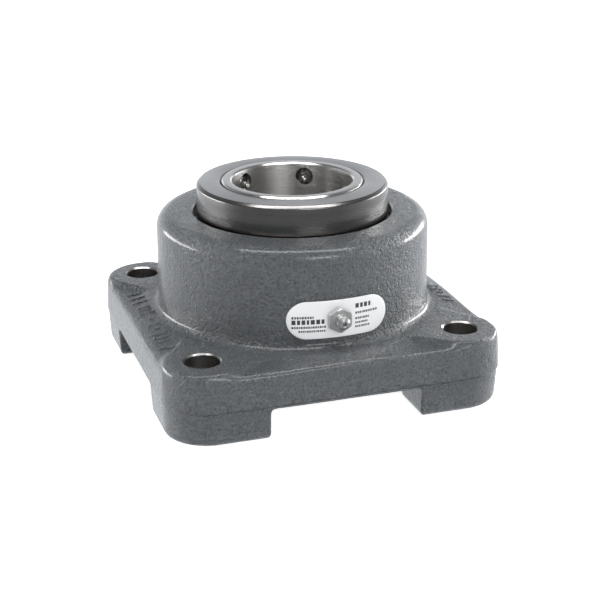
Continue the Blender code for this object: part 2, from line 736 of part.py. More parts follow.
def make_shaft_parts(shaft_axis):
    sleeve = make_sleeve(shaft_axis)
    collar = make_collar(shaft_axis)
    for index, angle in enumerate(SETSCREW_ANGLES, start=1):
        hole = setscrew_hole(f"setscrew_hole_{index}", angle)
        combine(sleeve, hole, "DIFFERENCE")
        combine(collar, hole, "DIFFERENCE")
        make_setscrew(f"setscrew_{index}", angle, shaft_axis)


# ---------------------------------------------------------------- seals and ring

def make_seal(row, side, face, outer, depth):
    """Pressed steel case with a rubber lip. face is the seal's outward side."""
    def placed(points):
        profile = [(radius, face - side * inward) for radius, inward in points]
        if side < 0:
            profile.reverse()
        return profile

    window = SEAL_TRACK_RADIUS + SEAL_WINDOW
    case = [
        (outer, 0.0),
        (outer, depth),
        (outer - SEAL_SHEET, depth),
        (outer - SEAL_SHEET, SEAL_SHEET),
        (window, SEAL_SHEET),
        (window, 0.0),
    ]
    toe = SEAL_TRACK_RADIUS + GAP
    back = SEAL_SHEET + GAP
    front = back + LIP_THICKNESS
    rim = outer - SEAL_SHEET - GAP
    lip = [
        (rim, back),
        (rim, front),
        (toe + LIP_THICKNESS + 2 * GAP, front),
        (toe + 2 * GAP, front + LIP_REACH),
        (toe, front + LIP_REACH - GAP),
        (toe + 3 * GAP, back),
    ]
    add_part(turned(row + "_seal_case", placed(case), ROW_STEPS), "cage_steel")
    add_part(turned(row + "_seal_lip", placed(lip), ROW_STEPS), "seal_rubber")


def make_retaining_ring():
    """Spring ring in the housing's groove, open at the rear (+Y) side, with plier holes."""
    outer = CUP_BORE + RING_GROOVE_DEPTH - GAP
    inner = outer - RING_WIDTH
    low = GROOVE_LOW + GAP
    high = low + RING_THICKNESS
    ring = turned("retaining_ring", [(outer, high), (outer, low), (inner, low), (inner, high)])
    add_part(ring, "black_oxide")
    half = RING_OPENING / 2
    opening = box("ring_opening", (-half, inner / 2, low - OVERSHOOT),
                  (half, outer + OVERSHOOT, high + OVERSHOOT))
    combine(ring, add_cutter(opening), "DIFFERENCE")
    middle = (outer + inner) / 2
    for side in (-1, 1):
        hole = prism(f"plier_hole_{side + 2}", RING_HOLE_DIAMETER / 2, low - OVERSHOOT,
                     high + OVERSHOOT, 8)
        hole.location.x = side * (half + RING_HOLE_DIAMETER)
        hole.location.y = math.sqrt(middle ** 2 - hole.location.x ** 2)
        combine(ring, add_cutter(hole), "DIFFERENCE")


# ---------------------------------------------------------------- nameplate and grease fitting

def make_nameplate():
    """Round-ended plate wrapped on the hub, with a hole for the grease fitting's shank."""
    half_height = PLATE_HEIGHT / 2
    low = PLATE_BOTTOM - MM
    high = PLATE_BOTTOM + PLATE_HEIGHT + MM
    ring = [(PLATE_OUTER, high), (PLATE_OUTER, low), (PLATE_INNER, low), (PLATE_INNER, high)]
    plate = add_part(turned("nameplate", ring), "plate_metal")
    straight = PLATE_LENGTH / 2 - half_height
    outline = arc((straight, 0.0), half_height, -math.pi / 2, math.pi / 2, 8)
    outline += arc((-straight, 0.0), half_height, math.pi / 2, 1.5 * math.pi, 8)
    shape = add_cutter(outline_plate("plate_shape", outline, HUB_RADIUS / 2,
                                     PLATE_OUTER + OVERSHOOT))
    shape.location.z = PLATE_HEIGHT_Z
    shape.rotation_euler = (math.pi / 2, 0.0, PLATE_TURN)
    combine(plate, shape, "INTERSECT")
    hole = prism("plate_hole", SHANK_DIAMETER / 2 + GAP, HUB_RADIUS / 2,
                 PLATE_OUTER + OVERSHOOT, SMALL_STEPS)
    facing_out(add_cutter(hole), -math.pi / 2, PLATE_HEIGHT_Z)
    combine(plate, hole, "DIFFERENCE")


def fitting_profile(base, hex_top, tip):
    """Outside of the fitting: threaded shank, neck and round nipple head."""
    shank = SHANK_DIAMETER / 2
    head = NIPPLE_DIAMETER / 2
    neck = NIPPLE_NECK / 2
    band = tip - NIPPLE_CONE
    shoulder = band - NIPPLE_BAND
    return [
        (0.0, tip),
        (NIPPLE_FACE / 2, tip),
        (head, band),
        (head, shoulder),
        (neck, shoulder - NIPPLE_SHOULDER),
        (neck, hex_top - HEX_HEIGHT / 2),
        (shank, hex_top - HEX_HEIGHT / 2),
        (shank, base + EDGE_BREAK),
        (shank - EDGE_BREAK, base),
        (0.0, base),
    ]


def make_grease_fitting():
    """Hexagon grease fitting with its check ball and the spring behind it."""
    seat = PLATE_OUTER + GAP
    base = seat - SHANK_LENGTH
    hex_top = seat + HEX_HEIGHT
    tip = hex_top + NIPPLE_HEIGHT
    chamber = BALL_DIAMETER / 2 + GAP
    chamber_low = base + SPRING_SEAT
    chamber_high = tip - MOUTH_DEPTH
    fitting = turned("grease_fitting", fitting_profile(base, hex_top, tip), SMALL_STEPS,
                     closed=False)
    add_part(fitting, "zinc")
    nut = prism("fitting_hexagon", HEX_ACROSS_FLATS / math.sqrt(3), seat, hex_top, 6)
    nut.data.transform(Matrix.Rotation(math.pi / 2, 4, "Z"))
    channel = [
        (0.0, tip + OVERSHOOT),
        (MOUTH_DIAMETER / 2, tip + OVERSHOOT),
        (MOUTH_DIAMETER / 2, chamber_high),
        (chamber, chamber_high),
        (chamber, chamber_low),
        (PORT_DIAMETER / 2, chamber_low),
        (PORT_DIAMETER / 2, base - OVERSHOOT),
        (0.0, base - OVERSHOOT),
    ]
    bore = turned("fitting_bore", channel, SMALL_STEPS, closed=False)
    for other, operation in ((nut, "UNION"), (bore, "DIFFERENCE")):
        facing_out(add_cutter(other), -math.pi / 2, PLATE_HEIGHT_Z)
        combine(fitting, other, operation)
    facing_out(fitting, -math.pi / 2, PLATE_HEIGHT_Z)
    ball_radius = BALL_DIAMETER / 2
    ball_at = chamber_high - math.sqrt(ball_radius ** 2 - (MOUTH_DIAMETER / 2) ** 2) - GAP
    make_ball(ball_at)
    make_spring(chamber_low + GAP, ball_at - ball_radius - GAP)


def make_ball(distance):
    bm = bmesh.new()
    bmesh.ops.create_uvsphere(bm, u_segments=12, v_segments=8, radius=BALL_DIAMETER / 2)
    ball = add_part(mesh_object("grease_ball", bm), "bearing_steel")
    ball.location = (0.0, -distance, PLATE_HEIGHT_Z)


def make_spring(low, high):
    """Open coil spring between the seat and the ball, its own +Z outwards."""
    wire = SPRING_WIRE / 2
    radius = BALL_DIAMETER / 2 - wire - GAP / 3
    curve = bpy.data.curves.new("grease_spring", "CURVE")
    curve.dimensions = "3D"
    curve.bevel_depth = wire
    curve.bevel_resolution = 1
    curve.use_fill_caps = True
    count = SPRING_TURNS * SPRING_POINTS + 1
    spline = curve.splines.new("POLY")
    spline.points.add(count - 1)
    for index, point in enumerate(spline.points):
        turn = 2 * math.pi * index / SPRING_POINTS
        height = low + wire + (high - low - 2 * wire) * index / (count - 1)
        point.co = (radius * math.cos(turn), radius * math.sin(turn), height, 1.0)
    guide = bpy.data.objects.new("spring_wire", curve)
    CUTTERS.objects.link(guide)
    spring = add_part(meshed("grease_spring", guide), "bearing_steel")
    facing_out(spring, -math.pi / 2, PLATE_HEIGHT_Z)


def main():
    make_housing()
    make_cup()
    shaft_axis = add_axis("shaft_axis")
    make_rows(shaft_axis)
    make_shaft_parts(shaft_axis)
    make_seal("front", 1, COLLAR_LOW - 2 * GAP, OPENING_RADIUS - GAP, SEAL_DEPTH)
    make_seal("rear", -1, GROOVE_HIGH, CUP_RADIUS, REAR_SEAL_DEPTH)
    make_retaining_ring()
    make_nameplate()
    make_grease_fitting()
    for obj in PARTS.objects:
        if obj.type == "MESH" and obj.modifiers:
            settle(obj)


main()
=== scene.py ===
"""Looks of the flange mount bearing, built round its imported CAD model.

Metres, in the frame of the CAD: +Z runs along the shaft and the mounting face is z = 0.
The casting is a distance function made into a mesh. The turned pieces are lathe meshes of
their CAD nodes' own profiles with softened edges. The rest is built point by point.
"""
import itertools
import math

import bpy
import numpy as np
from mathutils import Matrix, Vector, noise
from mathutils.bvhtree import BVHTree


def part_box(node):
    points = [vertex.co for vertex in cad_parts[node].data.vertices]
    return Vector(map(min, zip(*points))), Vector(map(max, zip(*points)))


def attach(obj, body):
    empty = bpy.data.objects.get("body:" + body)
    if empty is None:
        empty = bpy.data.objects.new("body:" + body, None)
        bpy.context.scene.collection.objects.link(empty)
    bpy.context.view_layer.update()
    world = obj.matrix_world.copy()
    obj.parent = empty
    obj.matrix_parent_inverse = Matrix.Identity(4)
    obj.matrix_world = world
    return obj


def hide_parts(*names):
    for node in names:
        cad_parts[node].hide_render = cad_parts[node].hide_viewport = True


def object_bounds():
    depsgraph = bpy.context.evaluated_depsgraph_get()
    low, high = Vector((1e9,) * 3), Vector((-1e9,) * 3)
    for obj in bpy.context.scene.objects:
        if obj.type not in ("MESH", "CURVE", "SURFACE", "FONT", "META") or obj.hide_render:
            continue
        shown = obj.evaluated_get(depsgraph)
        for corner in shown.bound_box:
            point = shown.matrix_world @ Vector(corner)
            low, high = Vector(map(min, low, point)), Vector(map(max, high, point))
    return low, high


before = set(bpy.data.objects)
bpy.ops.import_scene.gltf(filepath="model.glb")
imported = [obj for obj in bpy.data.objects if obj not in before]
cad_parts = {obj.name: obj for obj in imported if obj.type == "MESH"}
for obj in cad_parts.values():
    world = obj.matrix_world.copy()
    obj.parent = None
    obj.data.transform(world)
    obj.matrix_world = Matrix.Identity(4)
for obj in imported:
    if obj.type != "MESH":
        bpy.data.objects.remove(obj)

bpy.context.view_layer.update()
cad_low, cad_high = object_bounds()

MM = 0.001
GAP = 0.3 * MM                      # clearance that the CAD leaves where two pieces touch
SHARP_ANGLE = math.radians(32)
CAST_SHARP_ANGLE = math.radians(38)
ON_AXIS = 0.001 * MM                # a profile point this close to the shaft's axis is on it
NEARLY_STRAIGHT = math.radians(172)  # a corner this open is left as it is
SIDE_SHARE = 0.42                   # of a side that one rounded corner may take
BLOCK_FACES = ((3, 2, 1, 0), (4, 5, 6, 7), (0, 1, 5, 4), (1, 2, 6, 5), (2, 3, 7, 6), (3, 0, 4, 7))

# Casting
GRID = 1.15 * MM                    # spacing of the mesh on the casting
CORNER_RADIUS = 22 * MM
PARTING_HEIGHT = 17.5 * MM
PARTING_STEP = 0.4 * MM             # upper half of the casting beyond the lower one
WEB_DRAFT = 0.8 * MM
FOOT_DRAFT = 0.9 * MM
WEB_EDGE_RADIUS = 3.5 * MM
HUB_SHOULDER_RADIUS = 7.5 * MM
HUB_DRAFT = 0.5 * MM
HUB_FILLET = 3.9 * MM
RING_CREST = 7.3 * MM               # raised ring round the hub, beyond the hub's side
RING_SLOPE = 6.2 * MM
PAD_RADIUS = 18.7 * MM
PAD_SIDE_SLOPE = 0.8                # how far a pad's side leans out, for each unit down
PAD_LINE_ANGLE = math.radians(82.7)  # normal of a pad's straight side, from its diagonal
HALF_FOOT_GAP = 38.3 * MM
REAR_POCKET = 5.3 * MM              # room round the rear of the hub
REAR_WALL = 7.7 * MM
HUB_REAR = 9 * MM
SOFT_EDGE = 1.2 * MM                # radius of a cast edge
FOOT_EDGE = 3.0 * MM                # radius where a foot meets the floor
SOFT_ROOT = 2.2 * MM                # fillet where cast shapes meet
SKIN_DEPTH = 0.16 * MM              # unevenness of the cast skin
SKIN_SIZE = 14 * MM
SKIN_FADE = 2 * MM                  # the unevenness dies away this close to the mounting face
PROBE = 0.02 * MM                   # step that measures a slope

# Machining
TURN_STEPS = 192
HOLE_STEPS = 64
EDGE_SOFTNESS = 0.22 * MM
COLLAR_SOFTNESS = 0.9 * MM
OIL_HOLE_RADIUS = 1.5 * MM
OIL_HOLE_ANGLES = (30, 150, 270)    # degrees from +X
OIL_HOLE_STEPS = 24
PORT_STEPS = 32
RING_OPENING = 14 * MM
RING_HOLE_DIAMETER = 2.2 * MM
EDGE_BREAK = 0.8 * MM
OVERSHOOT = 4 * MM
BOLT_INSET = 20.45 * MM
BOLT_HOLE_RADIUS = 8.6 * MM
OPENING_CLEARANCE = 2.12 * MM
SHANK_RADIUS = 4 * MM
SHANK_LENGTH = 9.4 * MM
PORT_RADIUS = 1.5 * MM
RING_GROOVE_DEPTH = 2.3 * MM

# Rollers
ROLLER_COUNT = 18
CROWN = 0.03 * MM
DIMPLE = 0.4 * MM
ROLLER_SOFTNESS = 0.5 * MM
ROLLER_STEPS = 48
CROWN_STEPS = 8                     # points along a roller's side

# Setscrews
SETSCREW_RADIUS = 4.4 * MM
SETSCREW_ANGLES = (60.0, 125.0)
THREAD_PITCH = 1.25 * MM
THREAD_DEPTH = 0.7 * MM
THREAD_SLOPE = 2.4                  # share of the depth lost over one pitch beside a crest
THREAD_CREST = 0.1                  # flat part of a crest, as a share of the depth lost
THREAD_STEPS = 48
THREAD_ROWS = 8                     # to one pitch
SETSCREW_POINT = 2.65 * MM          # radius of the cup point
SETSCREW_CUP = 1.85 * MM
SOCKET_FLATS = 4.76 * MM
SOCKET_DEPTH = 5 * MM
HEAD_CHAMFER = 0.6 * MM
POINT_BREAK = 0.1 * MM

# Nameplate and grease fitting
PLATE_TURN = math.radians(0.5)
PLATE_THICKNESS = 0.8 * MM
PLATE_BEVEL = 0.18 * MM
PLATE_STEPS = 200
PLATE_ROWS = 12                     # from the fitting's hole to the plate's edge
PRINT_HEIGHT = 0.02 * MM
PRINT_ROWS = (                      # from, to, height above the plate's middle, size, in mm
    (-23.2, -11.8, 1.6, 1.2),
    (-23.2, -6.4, -0.7, 2.3),
    (-23.2, -6.6, -3.4, 1.1),
    (-20.0, -6.6, -5.4, 1.0),
    (8.1, 17.7, 5.4, 2.3),
    (8.1, 21.0, 1.8, 1.1),
    (8.1, 16.2, -1.1, 1.1),
    (8.1, 15.0, -3.3, 1.0),
    (8.1, 16.2, -5.3, 1.0),
)
PRINT_WIDTHS = (0.8, 0.62, 0.74, 0.5, 0.86)   # of the marks in a row, by its size
PRINT_SPACE = 0.3                   # between two marks, by the row's size
HEX_FLATS = 11.1 * MM
HEX_HEIGHT = 3.2 * MM
HEX_CHAMFER = 0.65 * MM             # of the face on the plate
HEX_TOP_CHAMFER = 0.845 * MM
HEX_STEPS = 96
NIPPLE_RADIUS = 3.3 * MM
NIPPLE_NECK = 2.5 * MM
NIPPLE_FACE = 1.8 * MM
NIPPLE_BUTTON = (3 * MM, 2.1 * MM, 1.1 * MM)  # start, widest from, widest to, below the tip
NIPPLE_STEPS = 64
SPRING_SEAT = 3.4 * MM
MOUTH_RADIUS = 1 * MM
MOUTH_DEPTH = 1 * MM
SPRING_WIRE = 0.2 * MM
SPRING_TURNS = 6
COIL_STEPS = 32
WIRE_STEPS = 12
SPRING_ROOM = 0.35 * MM

# Cast marks, in mm: middle of each stroke, and its length along x
MARK_WIDTH = 1.3 * MM
MARK_RISE = 0.5 * MM
MARK_SECTION = ((0.15, 0.5), (0.4, 0.85), (0.8, 1.0))  # inset and height, as shares
MARK_STEPS = 24
LEFT_MARKS = (
    (-77.5, 37, 8.5), (-77.5, 29.5, 8.5), (-77.5, 22, 8.5), (-77.5, 13, 7), (-77.5, 9.5, 7),
    (-77.5, 4.5, 8), (-77.5, -5, 3), (-75.5, -12.5, 2.6), (-79.5, -12.5, 2.6),
    (-77.5, -18, 3), (-77.5, -24, 8.5), (-77.5, -28.5, 8.5), (-77.5, -33, 6), (-77.5, -41, 8.5),
)
RIGHT_MARKS = (
    (78, -5, 7), (78, -10, 7), (78, -15, 4), (78, -20.5, 7), (78, -26, 7),
)

# Studio
SHADE_RADIUS = 42 * MM              # dark card below the bore, a painted shadow seen through it
FLOOR_GLOW = 0.9                    # for the camera
FLOOR_FILL = 0.6                    # for light and reflections
ROOM_FRONT = 0.34
ROOM_BACK = 1.2
ROOM_UPPER = 0.32                   # overhead against the level of the bearing
ROOM_COLOUR = (0.93, 0.96, 1.0, 1.0)

# Camera
AZIMUTH = math.radians(-18.37)
ELEVATION = math.radians(20.68)
ROLL = math.radians(-0.11)
DISTANCE = 738.7 * MM
TARGET = Vector((6.07 * MM, -0.59 * MM, 33.11 * MM))
LENS = 82.44


# ---------------- what the frame says

trees = {}


def reach(node, start, direction):
    """Where a ray first meets a CAD node."""
    if node not in trees:
        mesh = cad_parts[node].data
        trees[node] = BVHTree.FromPolygons([v.co[:] for v in mesh.vertices],
                                           [p.vertices[:] for p in mesh.polygons])
    return trees[node].ray_cast(Vector(start), Vector(direction))[0]


HALF_FLANGE = cad_high.x
HUB_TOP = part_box("housing")[1].z
HUB_RADIUS = reach("housing", (1, 0, HUB_TOP / 2), (-1, 0, 0)).x
BOLT_AT = HALF_FLANGE - BOLT_INSET
WEB_TOP = reach("housing", (HALF_FLANGE - 3 * WEB_EDGE_RADIUS / 2, 0, 1), (0, 0, -1)).z
PAD_TOP = reach("housing", (BOLT_AT, BOLT_AT - 1.5 * BOLT_HOLE_RADIUS, 1), (0, 0, -1)).z
PAD_RISE = PAD_TOP - WEB_TOP
FOOT_HEIGHT = reach("housing", (HALF_FLANGE - RING_SLOPE, 0, 0), (0, 0, 1)).z
SHAFT_RADIUS = reach("inner_sleeve", (0, 0, HUB_TOP), (1, 0, 0)).x
COLLAR_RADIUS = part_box("lock_collar")[1].x
COLLAR_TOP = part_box("lock_collar")[1].z
CUP_LOW, CUP_HIGH = (corner.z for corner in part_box("double_cup"))
CUP_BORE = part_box("double_cup")[1].x + GAP
OPENING_RADIUS = COLLAR_RADIUS + OPENING_CLEARANCE
PLATE_LOW, PLATE_HIGH = (corner.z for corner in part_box("nameplate"))
PLATE_Z = (PLATE_LOW + PLATE_HIGH) / 2
PLATE_OUTER = HUB_RADIUS + GAP + PLATE_THICKNESS


# ---------------- shared tools

def make_piece(mesh, name, body, material, replaces=(), matrix=Matrix.Identity(4)):
    """Piece from a mesh: it rides on a body, has a finish and may replace a CAD node."""
    mesh.materials.clear()
    mesh.materials.append(material)
    obj = bpy.data.objects.new(name, mesh)
    obj.matrix_world = matrix
    bpy.context.scene.collection.objects.link(obj)
    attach(obj, body)
    if replaces:
        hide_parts(*replaces)
    return obj


def mesh_from(name, points, faces):
    mesh = bpy.data.meshes.new(name)
    mesh.from_pydata([tuple(p) for p in points], [], [tuple(f) for f in faces])
    mesh.validate()
    return mesh


def shade(mesh, angle=SHARP_ANGLE):
    mesh.shade_smooth()
    mesh.set_sharp_from_angle(angle=angle)
    return mesh


def cut(mesh, *cutters, operation="DIFFERENCE"):
    """Mesh with other meshes cut from it. The cutters are used up."""
    obj = bpy.data.objects.new(mesh.name, mesh)
    bpy.context.scene.collection.objects.link(obj)
    others = []
    for cutter in cutters:
        other = bpy.data.objects.new("cutter", cutter)
        bpy.context.scene.collection.objects.link(other)
        step = obj.modifiers.new("cut", "BOOLEAN")
        step.operation = operation
        step.solver = "EXACT"
        step.object = other
        others.append(other)
    view = bpy.context.evaluated_depsgraph_get()
    made = bpy.data.meshes.new_from_object(obj.evaluated_get(view))
    for leftover in (obj, *others):
        bpy.data.objects.remove(leftover, do_unlink=True)
    return made


def lathe(name, profile, steps=TURN_STEPS, matrix=None):
    """Closed mesh turned about Z from (radius, height) points, counterclockwise."""
    points, faces, rings = [], [], []
    for radius, height in profile:
        if radius < ON_AXIS:
            rings.append([len(points)] * steps)
            points.append((0.0, 0.0, height))
            continue
        rings.append(list(range(len(points), len(points) + steps)))
        for index in range(steps):
            angle = 2 * math.pi * index / steps
            points.append((radius * math.cos(angle), radius * math.sin(angle), height))
    for lower, upper in zip(rings, rings[1:] + rings[:1]):
        for index in range(steps):
            after = (index + 1) % steps
            corners = [lower[index], lower[after], upper[after], upper[index]]
            face = list(dict.fromkeys(corners))
            if len(face) > 2:
                faces.append(face)
    mesh = mesh_from(name, points, faces)
    if matrix:
        mesh.transform(matrix)
    return shade(mesh)


def soften(profile, radius_at, pieces=4):
    """Closed profile with each corner rounded, less where a side is short.

    The radius is one value, or a function of the corner."""
    made = []
    for index, corner in enumerate(profile):
        corner = Vector(corner)
        before = Vector(profile[index - 1]) - corner
        after = Vector(profile[(index + 1) % len(profile)]) - corner
        turn = before.angle(after, math.pi)
        if corner.x < ON_AXIS or turn > NEARLY_STRAIGHT:
            made.append(tuple(corner))
            continue
        radius = radius_at(corner) if callable(radius_at) else radius_at
        back = min(radius / math.tan(turn / 2), SIDE_SHARE * before.length,
                   SIDE_SHARE * after.length)
        start = corner + before.normalized() * back
        stop = corner + after.normalized() * back
        for step in range(pieces + 1):
            t = step / pieces
            point = start * (1 - t) ** 2 + corner * 2 * t * (1 - t) + stop * t ** 2
            made.append(tuple(point))
    return made


def profile_of(node):
    """Outline of a turned CAD node in the half plane at +X, counterclockwise."""
    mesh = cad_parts[node].data
    flat = {v.index: (round(v.co.x, 6), round(v.co.z, 6)) for v in mesh.vertices
            if abs(v.co.y) < 0.002 * MM and v.co.x > 0}
    beside = {}
    for edge in mesh.edges:
        a, b = (flat.get(index) for index in edge.vertices)
        if a and b and a != b:
            beside.setdefault(a, set()).add(b)
            beside.setdefault(b, set()).add(a)
    start = min(beside)
    walk = [start, min(beside[start])]
    while True:
        onward = [p for p in beside[walk[-1]] if p != walk[-2]]
        if onward[0] == start:
            break
        walk.append(onward[0])
    area = sum(a[0] * b[1] - b[0] * a[1] for a, b in zip(walk, walk[1:] + walk[:1]))
    return walk if area > 0 else walk[::-1]


def facing_out(angle, height):
    """Matrix that turns a piece's own +Z outwards from the shaft, at an angle in radians."""
    return (Matrix.Translation((0, 0, height)) @ Matrix.Rotation(angle, 4, "Z")
            @ Matrix.Rotation(math.pi / 2, 4, "Y"))


# ---------------- materials

def new_material(name, colour, roughness, metallic):
    material = bpy.data.materials.new(name)
    material.use_nodes = True
    tree = material.node_tree
    shader = tree.nodes["Principled BSDF"]
    shader.inputs["Base Color"].default_value = (*colour, 1.0)
    shader.inputs["Roughness"].default_value = roughness
    shader.inputs["Metallic"].default_value = metallic
    return material, tree, shader


def add(tree, kind, inputs=None, **settings):
    """New node with its settings and its inputs, each a value or another node's socket."""
    node = tree.nodes.new(kind)
    for key, value in settings.items():
        setattr(node, key, value)
    for key, value in (inputs or {}).items():
        if isinstance(value, bpy.types.NodeSocket):
            tree.links.new(value, node.inputs[key])
        else:
            node.inputs[key].default_value = value
    return node


def place(tree):
    """Coordinates of the object itself, in metres."""
    return add(tree, "ShaderNodeTexCoord").outputs["Object"]


def grain(tree, where, size, detail=2.0, roughness=0.5):
    """Noise whose features are about as wide as size, in metres."""
    return add(tree, "ShaderNodeTexNoise", {"Vector": where, "Scale": 1 / size, "Detail": detail,
               "Roughness": roughness}).outputs["Fac"]


def spread(tree, value, low, high, to_low, to_high):
    """A value from low to high, mapped to another range and clamped."""
    return add(tree, "ShaderNodeMapRange", {"Value": value, "From Min": low, "From Max": high,
               "To Min": to_low, "To Max": to_high}).outputs["Result"]


def sums(tree, operation, a, b):
    """Result of a maths operation on two values or sockets."""
    return add(tree, "ShaderNodeMath", {0: a, 1: b}, operation=operation).outputs[0]


def between(tree, share, first, second):
    """Mix of two colours, all of the first where the share is 0."""
    mix = add(tree, "ShaderNodeMix", {"Factor": share}, data_type="RGBA")
    for socket, value in (("A", first), ("B", second)):
        found = [s for s in mix.inputs if s.name == socket and s.type == "RGBA"][0]
        if isinstance(value, bpy.types.NodeSocket):
            tree.links.new(value, found)
        else:
            found.default_value = (*value, 1.0)
    return [s for s in mix.outputs if s.type == "RGBA"][0]


def bump(tree, height, depth, normal=None):
    """Bump of a height that runs from 0 to 1 over a depth in metres."""
    inputs = {"Height": height, "Distance": depth, "Strength": 1.0}
    if normal:
        inputs["Normal"] = normal
    return add(tree, "ShaderNodeBump", inputs).outputs["Normal"]


def rings(tree):
    """Coordinates that only change with radius and height, for marks left by a lathe."""
    apart = add(tree, "ShaderNodeSeparateXYZ", {0: place(tree)})
    x, y, z = apart.outputs
    square = sums(tree, "ADD", sums(tree, "MULTIPLY", x, x), sums(tree, "MULTIPLY", y, y))
    radius = sums(tree, "SQRT", square, 0.0)
    return add(tree, "ShaderNodeCombineXYZ", {0: radius, 1: z}).outputs[0]


def paint_material():
    """Slate enamel sprayed on a rough casting, with painted shade in the grain's hollows and along the
    parting line, and painted highlights on the grain's crowns.
    """
    material, tree, shader = new_material("slate_paint_on_casting", (0.105, 0.115, 0.122), 0.3, 0.0)
    where = place(tree)
    swells = grain(tree, where, 4 * MM, 2.0)
    pebbles = grain(tree, where, 1.25 * MM, 2.5, 0.6)
    grit = grain(tree, where, 0.55 * MM, 2.0, 0.6)
    tone = grain(tree, where, 22 * MM, 3.0)
    share = spread(tree, tone, 0.3, 0.7, 0.0, 1.0)
    colour = between(tree, share, (0.098, 0.108, 0.115), (0.112, 0.122, 0.129))
    # painted shade: the grain's hollows get a darker colour
    hollow = spread(tree, pebbles, 0.34, 0.48, 0.7, 0.0)
    colour = between(tree, hollow, colour, (0.055, 0.061, 0.066))
    # painted highlight: the grain's crowns get a lighter colour
    crown = spread(tree, pebbles, 0.53, 0.66, 0.0, 0.85)
    colour = between(tree, crown, colour, (0.2, 0.21, 0.217))
    height = add(tree, "ShaderNodeSeparateXYZ", {0: where}).outputs[2]
    wobble = spread(tree, swells, 0.2, 0.8, -0.35 * MM, 0.35 * MM)
    away = sums(tree, "ABSOLUTE", sums(tree, "SUBTRACT", sums(tree, "ADD", height, wobble),
                                       PARTING_HEIGHT), 0.0)
    seam = spread(tree, away, 0.1 * MM, 0.45 * MM, 0.75, 0.0)
    # painted shade: the colour darkens along the parting line, while the step itself is the bump
    # further down
    colour = between(tree, seam, colour, (0.03, 0.034, 0.037))
    tree.links.new(colour, shader.inputs["Base Color"])
    tree.links.new(spread(tree, pebbles, 0.3, 0.7, 0.36, 0.24), shader.inputs["Roughness"])
    low = bump(tree, spread(tree, seam, 0.0, 0.75, 1.0, 0.0), 0.4 * MM)
    low = bump(tree, swells, 2.0 * MM, low)
    low = bump(tree, pebbles, 2.4 * MM, low)
    tree.links.new(bump(tree, grit, 0.34 * MM, low), shader.inputs["Normal"])
    shader.inputs["Coat Weight"].default_value = 0.6
    shader.inputs["Coat Roughness"].default_value = 0.2
    return material


def textured(tree, shader, colour, tone, patches, roughness, fine, depth):
    """Colour that varies by a tone over patches, and roughness and bump that follow a fine grain."""
    dark = tuple(c * (1 - tone) for c in colour)
    light = tuple(min(1.0, c * (1 + tone)) for c in colour)
    tree.links.new(between(tree, spread(tree, patches, 0.35, 0.65, 0.0, 1.0), dark, light),
                   shader.inputs["Base Color"])
    tree.links.new(spread(tree, fine, 0.3, 0.7, *roughness), shader.inputs["Roughness"])
    tree.links.new(bump(tree, fine, depth * MM), shader.inputs["Normal"])


def turned_steel(name, colour, roughness, tone, depth, size, anisotropic):
    """Steel with the fine rings that a lathe or grinder leaves. Depth and size are in mm."""
    material, tree, shader = new_material(name, colour, roughness, 1.0)
    around = rings(tree)
    fine = grain(tree, around, size * MM, 3.0, 0.6)
    broad = grain(tree, around, 9 * size * MM, 2.0)
    cloud = grain(tree, place(tree), 16 * MM, 2.0)
    mixed = sums(tree, "ADD", sums(tree, "MULTIPLY", broad, 0.6), sums(tree, "MULTIPLY", cloud, 0.4))
    limits = (roughness * 0.8, roughness * 1.25)
    textured(tree, shader, colour, tone, mixed, limits, fine, depth)
    shader.inputs["Anisotropic"].default_value = anisotropic
    shader.inputs["Anisotropic Rotation"].default_value = 0.25
    tangent = add(tree, "ShaderNodeTangent", direction_type="RADIAL", axis="Z")
    tree.links.new(tangent.outputs[0], shader.inputs["Tangent"])
    return material


def plain_metal(name, colour, roughness, size, depth, tone=0.1, metallic=1.0):
    """Metal, ink or rubber with an even, fine texture. Size and depth are in mm."""
    material, tree, shader = new_material(name, colour, roughness, metallic)
    where = place(tree)
    fine = grain(tree, where, size * MM, 3.0, 0.6)
    cloud = grain(tree, where, 12 * size * MM, 2.0)
    limits = (roughness * 0.85, roughness * 1.2)
    textured(tree, shader, colour, tone, cloud, limits, fine, depth)
    return material


PAINT = paint_material()
MACHINED = turned_steel("machined_iron", (0.42, 0.41, 0.4), 0.3, 0.15, 0.01, 0.5, 0.3)
# collar's top face: rougher, more anisotropic rings, and a lighter colour that is a painted reflection
COLLAR_TOP_SHEEN = turned_steel("collar_top_painted_sheen", (0.6, 0.6, 0.605), 0.32, 0.1, 0.006, 0.35, 0.7)
COLLAR_STEEL = turned_steel("dark_turned_steel", (0.215, 0.21, 0.206), 0.26, 0.12, 0.006, 0.35, 0.2)
SLEEVE_STEEL = turned_steel("ground_sleeve_steel", (0.7, 0.69, 0.67), 0.22, 0.06, 0.003, 0.3, 0.6)
BORE_STEEL = turned_steel("bored_sleeve_steel", (0.74, 0.73, 0.71), 0.3, 0.06, 0.004, 0.3, 0.75)
RACE_STEEL = turned_steel("polished_bearing_steel", (0.55, 0.55, 0.56), 0.12, 0.05, 0.001, 0.3, 0.3)
ROLLER_STEEL = plain_metal("honed_roller_steel", (0.6, 0.6, 0.61), 0.14, 0.5, 0.001, 0.04)
CAGE_STEEL = plain_metal("pressed_cage_steel", (0.38, 0.38, 0.39), 0.4, 0.8, 0.01, 0.08)
OXIDE = plain_metal("black_oxide", (0.035, 0.035, 0.038), 0.42, 0.4, 0.006, 0.15, 0.85)
SCREW_STEEL = plain_metal("dark_screw_steel", (0.42, 0.41, 0.395), 0.26, 0.4, 0.002, 0.1)
ZINC = plain_metal("zinc_plate", (0.66, 0.66, 0.655), 0.38, 0.7, 0.001, 0.04)
PLATE = plain_metal("satin_plate", (0.9, 0.905, 0.91), 0.36, 0.5, 0.002, 0.015, 0.1)
